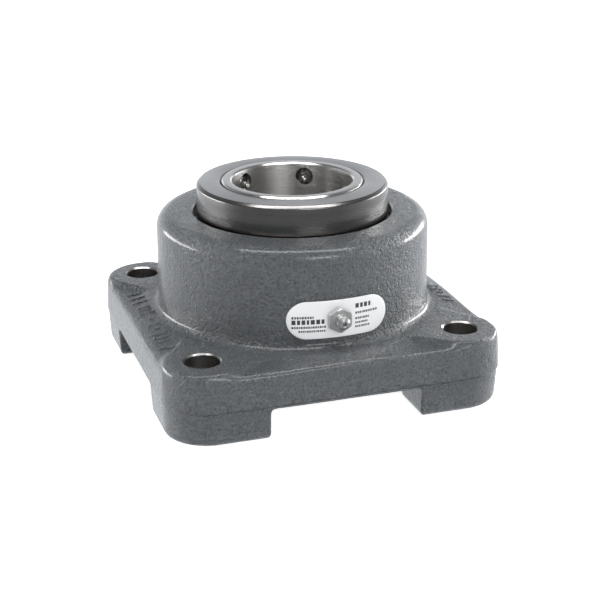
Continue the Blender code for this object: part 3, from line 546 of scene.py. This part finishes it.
INK = plain_metal("printed_ink", (0.05, 0.05, 0.055), 0.5, 0.3, 0.002, 0.1, 0.0)
RUBBER = plain_metal("seal_rubber", (0.018, 0.018, 0.019), 0.6, 0.5, 0.012, 0.1, 0.0)


# ---------------- casting

def joined(a, b, radius):
    """Distance to two shapes together, with a fillet where they meet."""
    round_a = np.maximum(radius - a, 0.0)
    round_b = np.maximum(radius - b, 0.0)
    return np.maximum(radius, np.minimum(a, b)) - np.hypot(round_a, round_b)


def shared(a, b, radius):
    """Distance to what two shapes have in common, its edge rounded."""
    return -joined(-a, -b, radius)


def square_plan(x, y, half):
    """Distance to the flange's outline, a square with round corners."""
    over_x = np.abs(x) - (half - CORNER_RADIUS)
    over_y = np.abs(y) - (half - CORNER_RADIUS)
    outside = np.hypot(np.maximum(over_x, 0.0), np.maximum(over_y, 0.0))
    return outside + np.minimum(np.maximum(over_x, over_y), 0.0) - CORNER_RADIUS


def pad_plan(x, y):
    """Distance to the nearest bolt pad's outline: round, and wider towards the hub."""
    along = (np.abs(x) + np.abs(y)) / math.sqrt(2) - BOLT_AT * math.sqrt(2)
    across = np.abs(np.abs(x) - np.abs(y)) / math.sqrt(2)
    straight = along * math.cos(PAD_LINE_ANGLE) + across * math.sin(PAD_LINE_ANGLE)
    beyond = along * math.sin(PAD_LINE_ANGLE) > across * math.cos(PAD_LINE_ANGLE)
    return np.where(beyond, np.hypot(along, across), straight) - PAD_RADIUS


def casting(x, y, z):
    """Distance to the casting before it is machined, negative inside."""
    radius = np.hypot(x, y)
    up = np.clip((z - PARTING_HEIGHT) / (WEB_TOP - PARTING_HEIGHT), 0.0, 1.0)
    down = np.clip((PARTING_HEIGHT - z) / PARTING_HEIGHT, 0.0, 1.0)
    step = np.clip((PARTING_HEIGHT - z) / PARTING_STEP + 0.5, 0.0, 1.0)
    inset = WEB_DRAFT * up + FOOT_DRAFT * down + PARTING_STEP * step
    outline = square_plan(x, y, HALF_FLANGE - inset)

    crest = radius - HUB_RADIUS - RING_CREST
    slope = (crest * PAD_RISE + (z - PAD_TOP) * RING_SLOPE) / math.hypot(PAD_RISE, RING_SLOPE)
    lean = math.hypot(1.0, PAD_SIDE_SLOPE)
    pad_side = (pad_plan(x, y) + (z - PAD_TOP) * PAD_SIDE_SLOPE) / lean
    raised = joined(slope, pad_side, SOFT_ROOT)
    raised = shared(raised, z - PAD_TOP, SOFT_EDGE / 2)
    body = shared(outline, joined(z - WEB_TOP, raised, SOFT_ROOT), WEB_EDGE_RADIUS)

    hub_draft = HUB_DRAFT * np.clip((z - PAD_TOP) / (HUB_TOP - PAD_TOP), 0.0, 1.0)
    hub = shared(radius - HUB_RADIUS + hub_draft, z - HUB_TOP, HUB_SHOULDER_RADIUS)
    hub = np.maximum(hub, FOOT_HEIGHT + 4 * SOFT_ROOT - z)
    body = joined(body, hub, HUB_FILLET)

    ceiling = z - FOOT_HEIGHT
    hollow = np.minimum(shared(np.abs(y) - HALF_FOOT_GAP, ceiling, SOFT_ROOT),
                        shared(np.abs(x) - HALF_FOOT_GAP, ceiling, SOFT_ROOT))
    rear_radius = CUP_BORE + REAR_WALL
    hollow = np.minimum(hollow, shared(radius - rear_radius - REAR_POCKET, ceiling, SOFT_ROOT))
    body = shared(body, -hollow, SOFT_EDGE)
    rear = shared(radius - rear_radius, HUB_REAR - z, SOFT_EDGE)
    rear = np.maximum(rear, z - WEB_TOP)
    body = joined(body, rear, SOFT_ROOT)
    return shared(body, -z, FOOT_EDGE)


def settled(points, shape, rounds=5):
    """Points moved onto a shape's surface, and the surface's normals there."""
    offsets = np.eye(3) * PROBE
    for _ in range(rounds):
        value = shape(*points.T)
        slope = np.stack([(shape(*(points + o).T) - shape(*(points - o).T)) for o in offsets], 1)
        slope /= 2 * PROBE
        steep = np.maximum((slope ** 2).sum(1), 0.1)
        points = points - (value / steep)[:, None] * slope
    return points, slope / np.linalg.norm(slope, axis=1)[:, None]


def skin(shape, low, high, spacing):
    """Quad mesh of a shape's surface: one point in each grid cell that it passes through."""
    axes = [np.arange(a - spacing, b + 2 * spacing, spacing) for a, b in zip(low, high)]
    solid = shape(*np.meshgrid(*axes, indexing="ij", sparse=True)) < 0
    cells = tuple(n - 1 for n in solid.shape)
    filled = np.zeros(cells, int)
    for corner in itertools.product((0, 1), repeat=3):
        filled += solid[tuple(slice(c, c + n) for c, n in zip(corner, cells))]
    passed = (filled > 0) & (filled < 8)
    number = np.full(cells, -1)
    number[passed] = np.arange(passed.sum())
    origin = np.array([axis[0] for axis in axes])
    points = origin + (np.argwhere(passed) + 0.5) * spacing
    faces = []
    for order in ((0, 1, 2), (1, 2, 0), (2, 0, 1)):
        turned, index = solid.transpose(order), number.transpose(order)
        i, j, k = np.argwhere(turned[:-1] != turned[1:]).T
        quads = np.stack([index[i, j - 1, k - 1], index[i, j, k - 1], index[i, j, k],
                          index[i, j - 1, k]], 1)
        outward = turned[i, j, k]
        faces.append(np.where(outward[:, None], quads, quads[:, ::-1]))
    faces = np.concatenate(faces)
    points, _ = settled(points, shape)
    for _ in range(2):
        middle = points[faces].mean(1)
        total, count = np.zeros_like(points), np.zeros(len(points))
        for column in faces.T:
            np.add.at(total, column, middle)
            np.add.at(count, column, 1)
        points, normals = settled(total / count[:, None], shape, 3)
    return points, normals, faces


def make_casting():
    """Casting before it is machined, with an uneven skin."""
    low = Vector((-HALF_FLANGE, -HALF_FLANGE, 0.0))
    high = Vector((HALF_FLANGE, HALF_FLANGE, HUB_TOP))
    points, normals, faces = skin(casting, low, high, GRID)
    uneven = np.array([noise.noise(Vector(p) / SKIN_SIZE) + 0.5 * noise.noise(Vector(p) * 3 / SKIN_SIZE)
                       for p in points])
    keep_flat = np.clip(points[:, 2] / SKIN_FADE, 0.0, 1.0)
    sunk = SKIN_DEPTH * (np.clip(uneven, -1, 1) + 1) / 2 * keep_flat
    points = points - normals * sunk[:, None]
    mesh = mesh_from("casting", points, faces)
    mesh.shade_smooth()
    return mesh


def bore_profile():
    """Outline of all that is bored out of the hub, the retaining ring's groove included."""
    groove_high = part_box("retaining_ring")[1].z + GAP
    groove_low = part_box("retaining_ring")[0].z - GAP
    groove = CUP_BORE + RING_GROOVE_DEPTH
    shoulder = CUP_HIGH + GAP
    mouth = OPENING_RADIUS + EDGE_BREAK
    return [(0.0, HUB_REAR - OVERSHOOT), (CUP_BORE + EDGE_BREAK, HUB_REAR - OVERSHOOT),
            (CUP_BORE + EDGE_BREAK, HUB_REAR), (CUP_BORE, HUB_REAR + EDGE_BREAK),
            (CUP_BORE, groove_low), (groove, groove_low),
            (groove, groove_high), (CUP_BORE, groove_high),
            (CUP_BORE, shoulder), (OPENING_RADIUS, shoulder),
            (OPENING_RADIUS, HUB_TOP - EDGE_BREAK), (mouth, HUB_TOP),
            (mouth, HUB_TOP + OVERSHOOT), (0.0, HUB_TOP + OVERSHOOT)]


def make_housing():
    """Casting with its bore, bolt holes and grease port, bare metal where it is machined."""
    cutters = [lathe("bore_cut", bore_profile())]
    wide = BOLT_HOLE_RADIUS + EDGE_BREAK
    hole = [(0.0, -OVERSHOOT), (BOLT_HOLE_RADIUS, -OVERSHOOT),
            (BOLT_HOLE_RADIUS, PAD_TOP - EDGE_BREAK), (wide, PAD_TOP),
            (wide, PAD_TOP + OVERSHOOT), (0.0, PAD_TOP + OVERSHOOT)]
    for x, y in itertools.product((-BOLT_AT, BOLT_AT), repeat=2):
        cutters.append(lathe("hole_cut", hole, HOLE_STEPS, Matrix.Translation((x, y, 0))))
    step = PLATE_OUTER - SHANK_LENGTH
    wall = SHANK_RADIUS + GAP
    port = [(0.0, CUP_BORE - OVERSHOOT), (PORT_RADIUS, CUP_BORE - OVERSHOOT),
            (PORT_RADIUS, step), (wall, step),
            (wall, PLATE_OUTER + OVERSHOOT), (0.0, PLATE_OUTER + OVERSHOOT)]
    cutters.append(lathe("port_cut", port, PORT_STEPS, facing_out(-math.pi / 2, PLATE_Z)))
    mesh = cut(make_casting(), *cutters)
    make_piece(mesh, "cast_housing", "housing", PAINT, ["housing"])
    mesh.materials.append(MACHINED)
    count = len(mesh.polygons)
    centres = np.empty(count * 3)
    mesh.polygons.foreach_get("center", centres)
    x, y, z = centres.reshape(-1, 3).T
    from_bolt = np.hypot(np.abs(x) - BOLT_AT, np.abs(y) - BOLT_AT)
    bare = (from_bolt < wide) | (np.hypot(x, y) < OPENING_RADIUS + EDGE_BREAK)
    bare |= (np.hypot(x, y) < CUP_BORE + RING_GROOVE_DEPTH + 0.01 * MM) & (z < CUP_HIGH + GAP)
    mesh.polygons.foreach_set("material_index", bare.astype(np.int32))
    shade(mesh, CAST_SHARP_ANGLE)


make_housing()


# ---------------- turned parts

def prism(name, radius, low, high, matrix, sides=6):
    """Closed mesh with flat sides, its corners on a radius about its own Z."""
    points = [(radius * math.cos(turn), radius * math.sin(turn), height)
              for height in (low, high)
              for turn in (2 * math.pi * (index + 0.5) / sides for index in range(sides))]
    faces = [[i, (i + 1) % sides, sides + (i + 1) % sides, sides + i] for i in range(sides)]
    faces += [list(range(sides))[::-1], list(range(sides, 2 * sides))]
    mesh = mesh_from(name, points, faces)
    mesh.transform(matrix)
    return mesh


def bridged(loops):
    """Faces between loops of points that follow each other, each of the same length."""
    count = len(loops[0])
    return [[lower[i], lower[(i + 1) % count], upper[(i + 1) % count], upper[i]]
            for lower, upper in zip(loops, loops[1:]) for i in range(count)]


def numbered(loops):
    """All points of some loops in one list, and each loop's numbers in it."""
    points, numbers = [], []
    for loop in loops:
        numbers.append(list(range(len(points), len(points) + len(loop))))
        points += loop
    return points, numbers


def setscrew_holes():
    """Cutters for the holes that the setscrews run in."""
    height = (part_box("setscrew_1")[0].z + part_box("setscrew_1")[1].z) / 2
    radius = SETSCREW_RADIUS + GAP
    tube = [(0.0, SHAFT_RADIUS / 2), (radius, SHAFT_RADIUS / 2),
            (radius, COLLAR_RADIUS + OVERSHOOT), (0.0, COLLAR_RADIUS + OVERSHOOT)]
    return [lathe("screw_cut", tube, HOLE_STEPS, facing_out(math.radians(angle), height))
            for angle in SETSCREW_ANGLES]


def turn_again(node, body, material, softness=EDGE_SOFTNESS, cutters=()):
    """Fine lathe mesh that stands for a turned CAD node."""
    mesh = lathe(node + "_turned", soften(profile_of(node), softness))
    if cutters:
        mesh = shade(cut(mesh, *cutters))
    return make_piece(mesh, node + "_turned", body, material, [node])


def second_material_faces(obj, material, chosen):
    """Second material, on the faces whose middle passes a test; on the collar's top it is a lighter
    copy that paints in the reflection there.
    """
    obj.data.materials.append(material)
    for face in obj.data.polygons:
        if chosen(face.center):
            face.material_index = 1


def make_sleeve():
    sleeve = turn_again("inner_sleeve", "shaft_group", SLEEVE_STEEL,
                        cutters=setscrew_holes())
    second_material_faces(sleeve, BORE_STEEL, lambda at: at.xy.length < SHAFT_RADIUS + GAP / 3)


def make_cup():
    """Double cup with the oil holes in its groove."""
    holes = []
    for angle in OIL_HOLE_ANGLES:
        tube = [(0.0, CUP_BORE / 2), (OIL_HOLE_RADIUS, CUP_BORE / 2),
                (OIL_HOLE_RADIUS, CUP_BORE + OVERSHOOT), (0.0, CUP_BORE + OVERSHOOT)]
        way = facing_out(math.radians(angle), (CUP_LOW + CUP_HIGH) / 2)
        holes.append(lathe("oil_hole", tube, OIL_HOLE_STEPS, way))
    turn_again("double_cup", "housing", RACE_STEEL, cutters=holes)


def make_retaining_ring():
    """Open ring with a hole for pliers at each end."""
    low, high = (corner.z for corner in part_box("retaining_ring"))
    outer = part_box("retaining_ring")[1].x
    inner = reach("retaining_ring", (0, 0, (low + high) / 2), (1, 0, 0)).x
    half = RING_OPENING / 2
    corners = [(x, y, z) for z in (low - OVERSHOOT, high + OVERSHOOT)
               for x, y in ((-half, inner / 2), (half, inner / 2), (half, 2 * outer),
                            (-half, 2 * outer))]
    cutters = [mesh_from("ring_opening", corners, BLOCK_FACES)]
    middle = (outer + inner) / 2
    for side in (-1, 1):
        x = side * (half + RING_HOLE_DIAMETER)
        place_at = Matrix.Translation((x, math.sqrt(middle ** 2 - x ** 2), 0))
        tube = [(0.0, low - OVERSHOOT), (RING_HOLE_DIAMETER / 2, low - OVERSHOOT),
                (RING_HOLE_DIAMETER / 2, high + OVERSHOOT), (0.0, high + OVERSHOOT)]
        cutters.append(lathe("plier_hole", tube, OIL_HOLE_STEPS, place_at))
    turn_again("retaining_ring", "housing", OXIDE, cutters=cutters)


def collar_softness(corner):
    """More softness at the outer edges above the hub than elsewhere."""
    outside = corner.x > COLLAR_RADIUS - 2 * COLLAR_SOFTNESS
    return COLLAR_SOFTNESS if outside and corner.y > HUB_TOP else EDGE_SOFTNESS


def make_collar():
    collar = turn_again("lock_collar", "shaft_group", COLLAR_STEEL,
                        softness=collar_softness, cutters=setscrew_holes())
    # the top face gets a lighter copy of the steel, a painted reflection
    second_material_faces(collar, COLLAR_TOP_SHEEN, lambda at: at.z > COLLAR_TOP - GAP / 3)


make_collar()
make_sleeve()
make_cup()
make_retaining_ring()
for row in ("front", "rear"):
    turn_again(row + "_cone", "shaft_group", RACE_STEEL)
    turn_again(row + "_seal_case", "housing", CAGE_STEEL)
    turn_again(row + "_seal_lip", "housing", RUBBER)
turn_again("cone_spacer", "shaft_group", RACE_STEEL)


# ---------------- setscrews

def make_setscrew(index, angle):
    """Threaded screw with a hexagon socket, its own +Z outwards and its cup point inwards."""
    node = f"setscrew_{index}"
    low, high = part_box(node)
    place_at = facing_out(math.radians(angle), (low.z + high.z) / 2)
    way = Vector((math.cos(math.radians(angle)), math.sin(math.radians(angle)), 0.0))
    along = [v.co.dot(way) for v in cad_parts[node].data.vertices]
    tip, head = min(along), max(along)
    crest = SETSCREW_RADIUS
    start = tip + crest - SETSCREW_POINT
    stop = head - HEAD_CHAMFER
    ends = [(SETSCREW_CUP, tip + POINT_BREAK), (SETSCREW_CUP + POINT_BREAK, tip),
            (SETSCREW_POINT - POINT_BREAK, tip), (SETSCREW_POINT, tip + POINT_BREAK)]
    turns = [2 * math.pi * step / THREAD_STEPS for step in range(THREAD_STEPS)]
    loops = [[(radius * math.cos(t), radius * math.sin(t), height) for t in turns]
             for radius, height in ends]
    rows = int(THREAD_ROWS * (stop - start) / THREAD_PITCH)
    for row in range(rows + 1):
        height = start + (stop - start) * row / rows
        loop = []
        for t in turns:
            phase = (height / THREAD_PITCH - t / (2 * math.pi)) % 1.0
            sunk = min(1.0, max(0.0, THREAD_SLOPE * abs(phase - 0.5) - THREAD_CREST))
            run_out = min(1.0, (height - start) / THREAD_PITCH, (stop - height) / THREAD_PITCH)
            radius = crest - THREAD_DEPTH * sunk * run_out
            loop.append((radius * math.cos(t), radius * math.sin(t), height))
        loops.append(loop)
    flat = crest - HEAD_CHAMFER
    loops.append([(flat * math.cos(t), flat * math.sin(t), head) for t in turns])
    points, numbers = numbered(loops)
    points.append((0.0, 0.0, tip + SETSCREW_CUP))
    faces = bridged(numbers)
    faces += [[len(points) - 1, b, a] for a, b in zip(numbers[0], numbers[0][1:] + numbers[0][:1])]
    faces.append(numbers[-1])
    mesh = mesh_from(node + "_fine", points, faces)
    mesh.transform(place_at)
    socket = prism("socket", SOCKET_FLATS / math.sqrt(3), head - SOCKET_DEPTH, head + OVERSHOOT,
                   place_at)
    mesh = shade(cut(mesh, socket))
    body = "setscrew_" + "ab"[index - 1]
    make_piece(mesh, node + "_threaded", body, SCREW_STEEL, [node])


for index, angle in enumerate(SETSCREW_ANGLES):
    make_setscrew(index + 1, angle)


# ---------------- rollers and cages

def roller_axis(node):
    """Matrix with +Z along a roller towards its large end, its half length and end radii."""
    points = np.array([v.co[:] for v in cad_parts[node].data.vertices])
    middle = points.mean(0)
    way = np.linalg.svd(points - middle)[2][0]
    along = (points - middle) @ way
    away = np.linalg.norm(points - middle - along[:, None] * way, axis=1)
    if away[along > 0].mean() < away[along < 0].mean():
        way, along = -way, -along
    turn = Vector(way).to_track_quat("Z", "Y").to_matrix().to_4x4()
    matrix = Matrix.Translation(Vector(middle)) @ turn
    return matrix, along.max(), away[along < 0].mean(), away[along > 0].mean()


def make_rollers():
    """One crowned roller mesh, shared by every roller of both rows."""
    _, half, small, large = roller_axis("front_roller_01")
    dimple = small / 2
    profile = [(0.0, -half + DIMPLE), (dimple, -half + DIMPLE), (dimple + DIMPLE, -half)]
    for step in range(CROWN_STEPS + 1):
        share = 2 * step / CROWN_STEPS - 1
        z = half * share
        profile.append((small + (large - small) * (z / half + 1) / 2 - CROWN * share ** 4, z))
    profile.append((0.0, half))
    mesh = lathe("crowned_roller", soften(profile, ROLLER_SOFTNESS), ROLLER_STEPS)
    for row in ("front", "rear"):
        for number in range(1, ROLLER_COUNT + 1):
            node = f"{row}_roller_{number:02d}"
            make_piece(mesh, node + "_crowned", node + "_body", ROLLER_STEEL,
                       [node], roller_axis(node)[0])


make_rollers()
for name in ("front_cage", "rear_cage"):
    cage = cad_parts[name].data
    cage.materials.clear()
    cage.materials.append(CAGE_STEEL)


# ---------------- nameplate and grease fitting

def on_plate(x, z, radius):
    """Point above the plate's straight-on outline, on a cylinder about the shaft."""
    y = -math.sqrt(radius ** 2 - x ** 2)
    return (x * math.cos(PLATE_TURN) - y * math.sin(PLATE_TURN),
            x * math.sin(PLATE_TURN) + y * math.cos(PLATE_TURN), PLATE_Z + z)


def make_nameplate():
    """Round-ended plate wrapped on the hub, with a hole for the fitting's shank."""
    low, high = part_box("nameplate")
    end = (high.z - low.z) / 2
    straight = (high.x - low.x) / 2 - end
    hole_at = -PLATE_OUTER * math.sin(PLATE_TURN)
    hole = SHANK_RADIUS + GAP
    ways = [2 * math.pi * step / PLATE_STEPS for step in range(PLATE_STEPS)]
    reaches = []
    for way in ways:
        far = hole
        for _ in range(40):
            x, z = hole_at + far * math.cos(way), far * math.sin(way)
            far -= math.hypot(max(abs(x) - straight, 0.0), z) - end
        reaches.append(far)
    edge = [(0.0, 0.0), (0.0, PLATE_THICKNESS - PLATE_BEVEL),
            (PLATE_BEVEL / 3, PLATE_THICKNESS - PLATE_BEVEL / 3), (PLATE_BEVEL, PLATE_THICKNESS)]
    spans = [(inset, rise, 1.0) for inset, rise in edge]
    shares = [step / PLATE_ROWS for step in range(PLATE_ROWS)]
    spans += [(PLATE_BEVEL, PLATE_THICKNESS, share) for share in reversed(shares)]
    spans += [(0.0, 0.0, share) for share in shares]
    loops = []
    for inset, rise, share in spans:
        loop = []
        for way, far in zip(ways, reaches):
            out = hole + (far - inset - hole) * share
            x, z = hole_at + out * math.cos(way), out * math.sin(way)
            loop.append(on_plate(x, z, HUB_RADIUS + GAP + rise))
        loops.append(loop)
    points, numbers = numbered(loops)
    mesh = shade(mesh_from("nameplate_fine", points, bridged(numbers + numbers[:1])))
    make_piece(mesh, "nameplate_wrapped", "housing", PLATE, ["nameplate"])


def make_print():
    """Rows of small dark blocks that stand for the plate's printed lines."""
    points, faces = [], []
    for start, stop, height, size in PRINT_ROWS:
        x = start
        for width in itertools.cycle(PRINT_WIDTHS):
            if x + width * size > stop:
                break
            low, high = (height - size / 2) * MM, (height + size / 2) * MM
            sides = ((x * MM, low), ((x + width * size) * MM, low),
                     ((x + width * size) * MM, high), (x * MM, high))
            first = len(points)
            for rise in (-PRINT_HEIGHT, PRINT_HEIGHT):
                points += [on_plate(*side, PLATE_OUTER + rise) for side in sides]
            faces += [[first + i for i in face] for face in BLOCK_FACES]
            x += (width + PRINT_SPACE) * size
    mesh = mesh_from("print_blocks", points, faces)
    make_piece(mesh, "nameplate_print", "housing", INK)


def make_grease_fitting():
    """Hexagon fitting with a button nipple, its own +Z outwards."""
    tip = -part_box("grease_fitting")[0].y
    base = -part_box("grease_fitting")[1].y
    seat = base + SHANK_LENGTH
    hex_top = seat + HEX_HEIGHT
    corner = HEX_FLATS / math.sqrt(3)
    chamfer = [(0.0, seat), (corner - HEX_CHAMFER, seat), (corner + GAP, seat + HEX_CHAMFER),
               (corner + GAP, hex_top - HEX_CHAMFER), (corner - HEX_TOP_CHAMFER, hex_top),
               (0.0, hex_top)]
    turn = Matrix.Rotation(math.pi / 6, 4, "Z")
    body = cut(prism("hexagon", corner, seat, hex_top, turn),
               lathe("hexagon_chamfer", chamfer, HEX_STEPS), operation="INTERSECT")
    foot = NIPPLE_NECK + EDGE_BREAK
    neck, wide, narrow = (tip - below for below in NIPPLE_BUTTON)
    outline = [(0.0, base), (SHANK_RADIUS - EDGE_BREAK, base), (SHANK_RADIUS, base + EDGE_BREAK),
               (SHANK_RADIUS, seat + HEX_HEIGHT / 2), (foot, seat + HEX_HEIGHT / 2),
               (foot, hex_top + EDGE_BREAK / 4), (NIPPLE_NECK, hex_top + EDGE_BREAK),
               (NIPPLE_NECK, neck), (NIPPLE_RADIUS, wide), (NIPPLE_RADIUS, narrow),
               (NIPPLE_FACE, tip), (0.0, tip)]
    body = cut(body, lathe("nipple", soften(outline, EDGE_SOFTNESS), NIPPLE_STEPS), operation="UNION")
    ball = (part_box("grease_ball")[1].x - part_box("grease_ball")[0].x) / 2
    chamber = ball + GAP
    flare = MOUTH_DEPTH / 4
    channel = [(0.0, base - OVERSHOOT), (MOUTH_RADIUS, base - OVERSHOOT),
               (MOUTH_RADIUS, base + MOUTH_DEPTH), (chamber, base + SPRING_SEAT),
               (chamber, tip - MOUTH_DEPTH), (MOUTH_RADIUS, tip - MOUTH_DEPTH),
               (MOUTH_RADIUS, tip - flare), (MOUTH_RADIUS + flare, tip),
               (MOUTH_RADIUS + flare, tip + OVERSHOOT), (0.0, tip + OVERSHOOT)]
    body = shade(cut(body, lathe("channel", channel, NIPPLE_STEPS)))
    body.transform(facing_out(-math.pi / 2, PLATE_Z))
    make_piece(body, "grease_fitting_fine", "housing", ZINC, ["grease_fitting"])


def make_ball():
    low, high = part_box("grease_ball")
    radius = (high.x - low.x) / 2
    arc = [(radius * math.cos(t), radius * math.sin(t))
           for t in (math.pi * (step / 24 - 0.5) for step in range(25))]
    mesh = lathe("ball", arc, 48)
    middle = Matrix.Translation((low + high) / 2)
    make_piece(mesh, "grease_ball_round", "check_ball", ROLLER_STEEL,
               ["grease_ball"], middle)


def make_spring():
    """Round wire wound into a helix, its own +Z outwards."""
    low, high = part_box("grease_spring")
    radius = (high.x - low.x) / 2 - SPRING_WIRE
    inner, outer = -high.y + SPRING_WIRE, -low.y - SPRING_WIRE - SPRING_ROOM
    steps = COIL_STEPS * SPRING_TURNS
    loops = []
    for step in range(steps + 1):
        turn = 2 * math.pi * step / COIL_STEPS
        out = Vector((math.cos(turn), math.sin(turn), 0.0))
        middle = out * radius + Vector((0, 0, inner + (outer - inner) * step / steps))
        loops.append([tuple(middle + SPRING_WIRE * (math.cos(t) * out + Vector((0, 0, math.sin(t)))))
                      for t in (2 * math.pi * side / WIRE_STEPS for side in range(WIRE_STEPS))])
    points, numbers = numbered(loops)
    faces = bridged(numbers) + [numbers[0][::-1], numbers[-1]]
    mesh = mesh_from("spring_wire", points, [face[::-1] for face in faces])
    mesh.transform(facing_out(-math.pi / 2, PLATE_Z))
    mesh.shade_smooth()
    make_piece(mesh, "grease_spring_wound", "housing", ROLLER_STEEL,
               ["grease_spring"])


make_nameplate()
make_print()
make_grease_fitting()
make_ball()
make_spring()


# ---------------- marks cast on the flange

def ground(x, y):
    """Height of the casting's upper surface near the web, found by halving."""
    low, high = WEB_TOP - MARK_RISE, PAD_TOP + MARK_RISE
    for _ in range(20):
        middle = (low + high) / 2
        if casting(x, y, middle) < 0:
            low = middle
        else:
            high = middle
    return low


def stroke(x, y, length):
    """Loops of a raised bar with round ends, sunk a little into the casting's upper surface."""
    half = MARK_WIDTH / 2
    straight = length / 2 - half
    loops = []
    for inset, height in ((0.0, -1.0), (0.0, 0.0), *MARK_SECTION):
        radius = half * (1 - inset)
        loop = []
        for step in range(MARK_STEPS):
            t = 2 * math.pi * (step + 0.5) / MARK_STEPS
            at = (x + math.copysign(straight, math.cos(t)) + radius * math.cos(t),
                  y + radius * math.sin(t))
            loop.append((*at, ground(*at) + height * MARK_RISE))
        loops.append(loop)
    return loops


def make_cast_marks():
    """Plain raised bars on two sides of the flange."""
    points, faces = [], []
    for x, y, length in LEFT_MARKS + RIGHT_MARKS:
        added, numbers = numbered(stroke(x * MM, y * MM, length * MM))
        shift = len(points)
        made = bridged(numbers) + [numbers[0][::-1], numbers[-1]]
        points += added
        faces += [[shift + number for number in face] for face in made]
    mesh = mesh_from("mark_strokes", points, faces)
    mesh.shade_smooth()
    make_piece(mesh, "cast_marks", "housing", PAINT)


make_cast_marks()


# ---------------- floor, light and camera

def make_floor():
    """White ground that glows, so that shadows stay faint, with a dark card below the bore that paints
    the shadow there.
    """
    mesh = mesh_from("floor", [(-8, -8, 0), (8, -8, 0), (8, 8, 0), (-8, 8, 0)], [(0, 1, 2, 3)])
    floor = bpy.data.objects.new("floor", mesh)
    material, tree, shader = new_material("pale_floor", (0.9, 0.9, 0.9), 0.9, 0.0)
    shader.inputs["Specular IOR Level"].default_value = 0.1
    shader.inputs["Emission Color"].default_value = (1, 1, 1, 1)
    seen = add(tree, "ShaderNodeLightPath").outputs["Is Camera Ray"]
    tree.links.new(spread(tree, seen, 0.0, 1.0, FLOOR_FILL, FLOOR_GLOW),
                   shader.inputs["Emission Strength"])
    mesh.materials.append(material)
    floor.location.z = -0.05 * MM
    floor.visible_glossy = False
    bpy.context.scene.collection.objects.link(floor)
    # painted shadow: a dark card on the floor under the bore, seen through it and in its reflections
    shade_card = lathe("bore_shade", [(0.0, -0.04 * MM), (SHADE_RADIUS, -0.04 * MM),
                                      (SHADE_RADIUS, -0.02 * MM), (0.0, -0.02 * MM)], 64)
    card = bpy.data.objects.new("bore_shade", shade_card)
    dark, _, _ = new_material("painted_shadow_card", (0.04, 0.04, 0.04), 0.9, 0.0)
    shade_card.materials.append(dark)
    bpy.context.scene.collection.objects.link(card)


def softbox(name, azimuth, elevation, distance, size, power):
    """Area light aimed at the bearing. Azimuth 0 is in front (-Y), and 90 is at +X."""
    a, e = math.radians(azimuth), math.radians(elevation)
    way = Vector((math.sin(a) * math.cos(e), -math.cos(a) * math.cos(e), math.sin(e)))
    data = bpy.data.lights.new(name, "AREA")
    data.shape = "RECTANGLE"
    data.size, data.size_y = size
    data.energy = power
    light = bpy.data.objects.new(name, data)
    light.location = TARGET + way * distance
    light.rotation_mode = "QUATERNION"
    light.rotation_quaternion = way.to_track_quat("Z", "Y")
    bpy.context.scene.collection.objects.link(light)
    light.visible_camera = False
    return light


def make_world():
    """White to the camera. For light and reflections it is a grey room, brighter behind."""
    world = bpy.data.worlds.new("studio")
    world.use_nodes = True
    tree = world.node_tree
    tree.nodes.clear()
    way = add(tree, "ShaderNodeTexCoord").outputs["Generated"]
    behind = (-math.sin(AZIMUTH), math.cos(AZIMUTH), -0.3)
    share = add(tree, "ShaderNodeVectorMath", {0: way, 1: behind}, operation="DOT_PRODUCT")
    strength = spread(tree, share.outputs["Value"], -0.4, 0.95, ROOM_FRONT, ROOM_BACK)
    height = add(tree, "ShaderNodeSeparateXYZ", {0: way}).outputs[2]
    strength = sums(tree, "MULTIPLY", strength, spread(tree, height, 0.15, 0.32, 1.0, ROOM_UPPER))
    room = add(tree, "ShaderNodeBackground", {"Color": ROOM_COLOUR, "Strength": strength})
    white = add(tree, "ShaderNodeBackground", {"Color": (1, 1, 1, 1), "Strength": 1.0})
    seen = add(tree, "ShaderNodeLightPath").outputs["Is Camera Ray"]
    mix = add(tree, "ShaderNodeMixShader", {0: seen, 1: room.outputs[0], 2: white.outputs[0]})
    add(tree, "ShaderNodeOutputWorld", {"Surface": mix.outputs[0]})
    bpy.context.scene.world = world


def make_camera():
    back = Vector((math.sin(AZIMUTH) * math.cos(ELEVATION),
                   -math.cos(AZIMUTH) * math.cos(ELEVATION), math.sin(ELEVATION)))
    data = bpy.data.cameras.new("camera")
    data.lens = LENS
    data.clip_start, data.clip_end = 0.05, 50
    camera = bpy.data.objects.new("camera", data)
    turn = back.to_track_quat("Z", "Y").to_matrix().to_4x4() @ Matrix.Rotation(ROLL, 4, "Z")
    camera.matrix_world = Matrix.Translation(TARGET + back * DISTANCE) @ turn
    bpy.context.scene.collection.objects.link(camera)
    bpy.context.scene.camera = camera


make_floor()
softbox("left", -124, 3, 1.2, (1.0, 0.16), 8)
softbox("right", 104, 8, 1.2, (0.9, 0.25), 11)
softbox("front", 6, 28, 1.4, (0.6, 0.25), 5)
softbox("over", -14, 79, 1.2, (1.4, 0.24), 11)
make_world()
make_camera()
bpy.context.scene.view_settings.view_transform = "Standard"
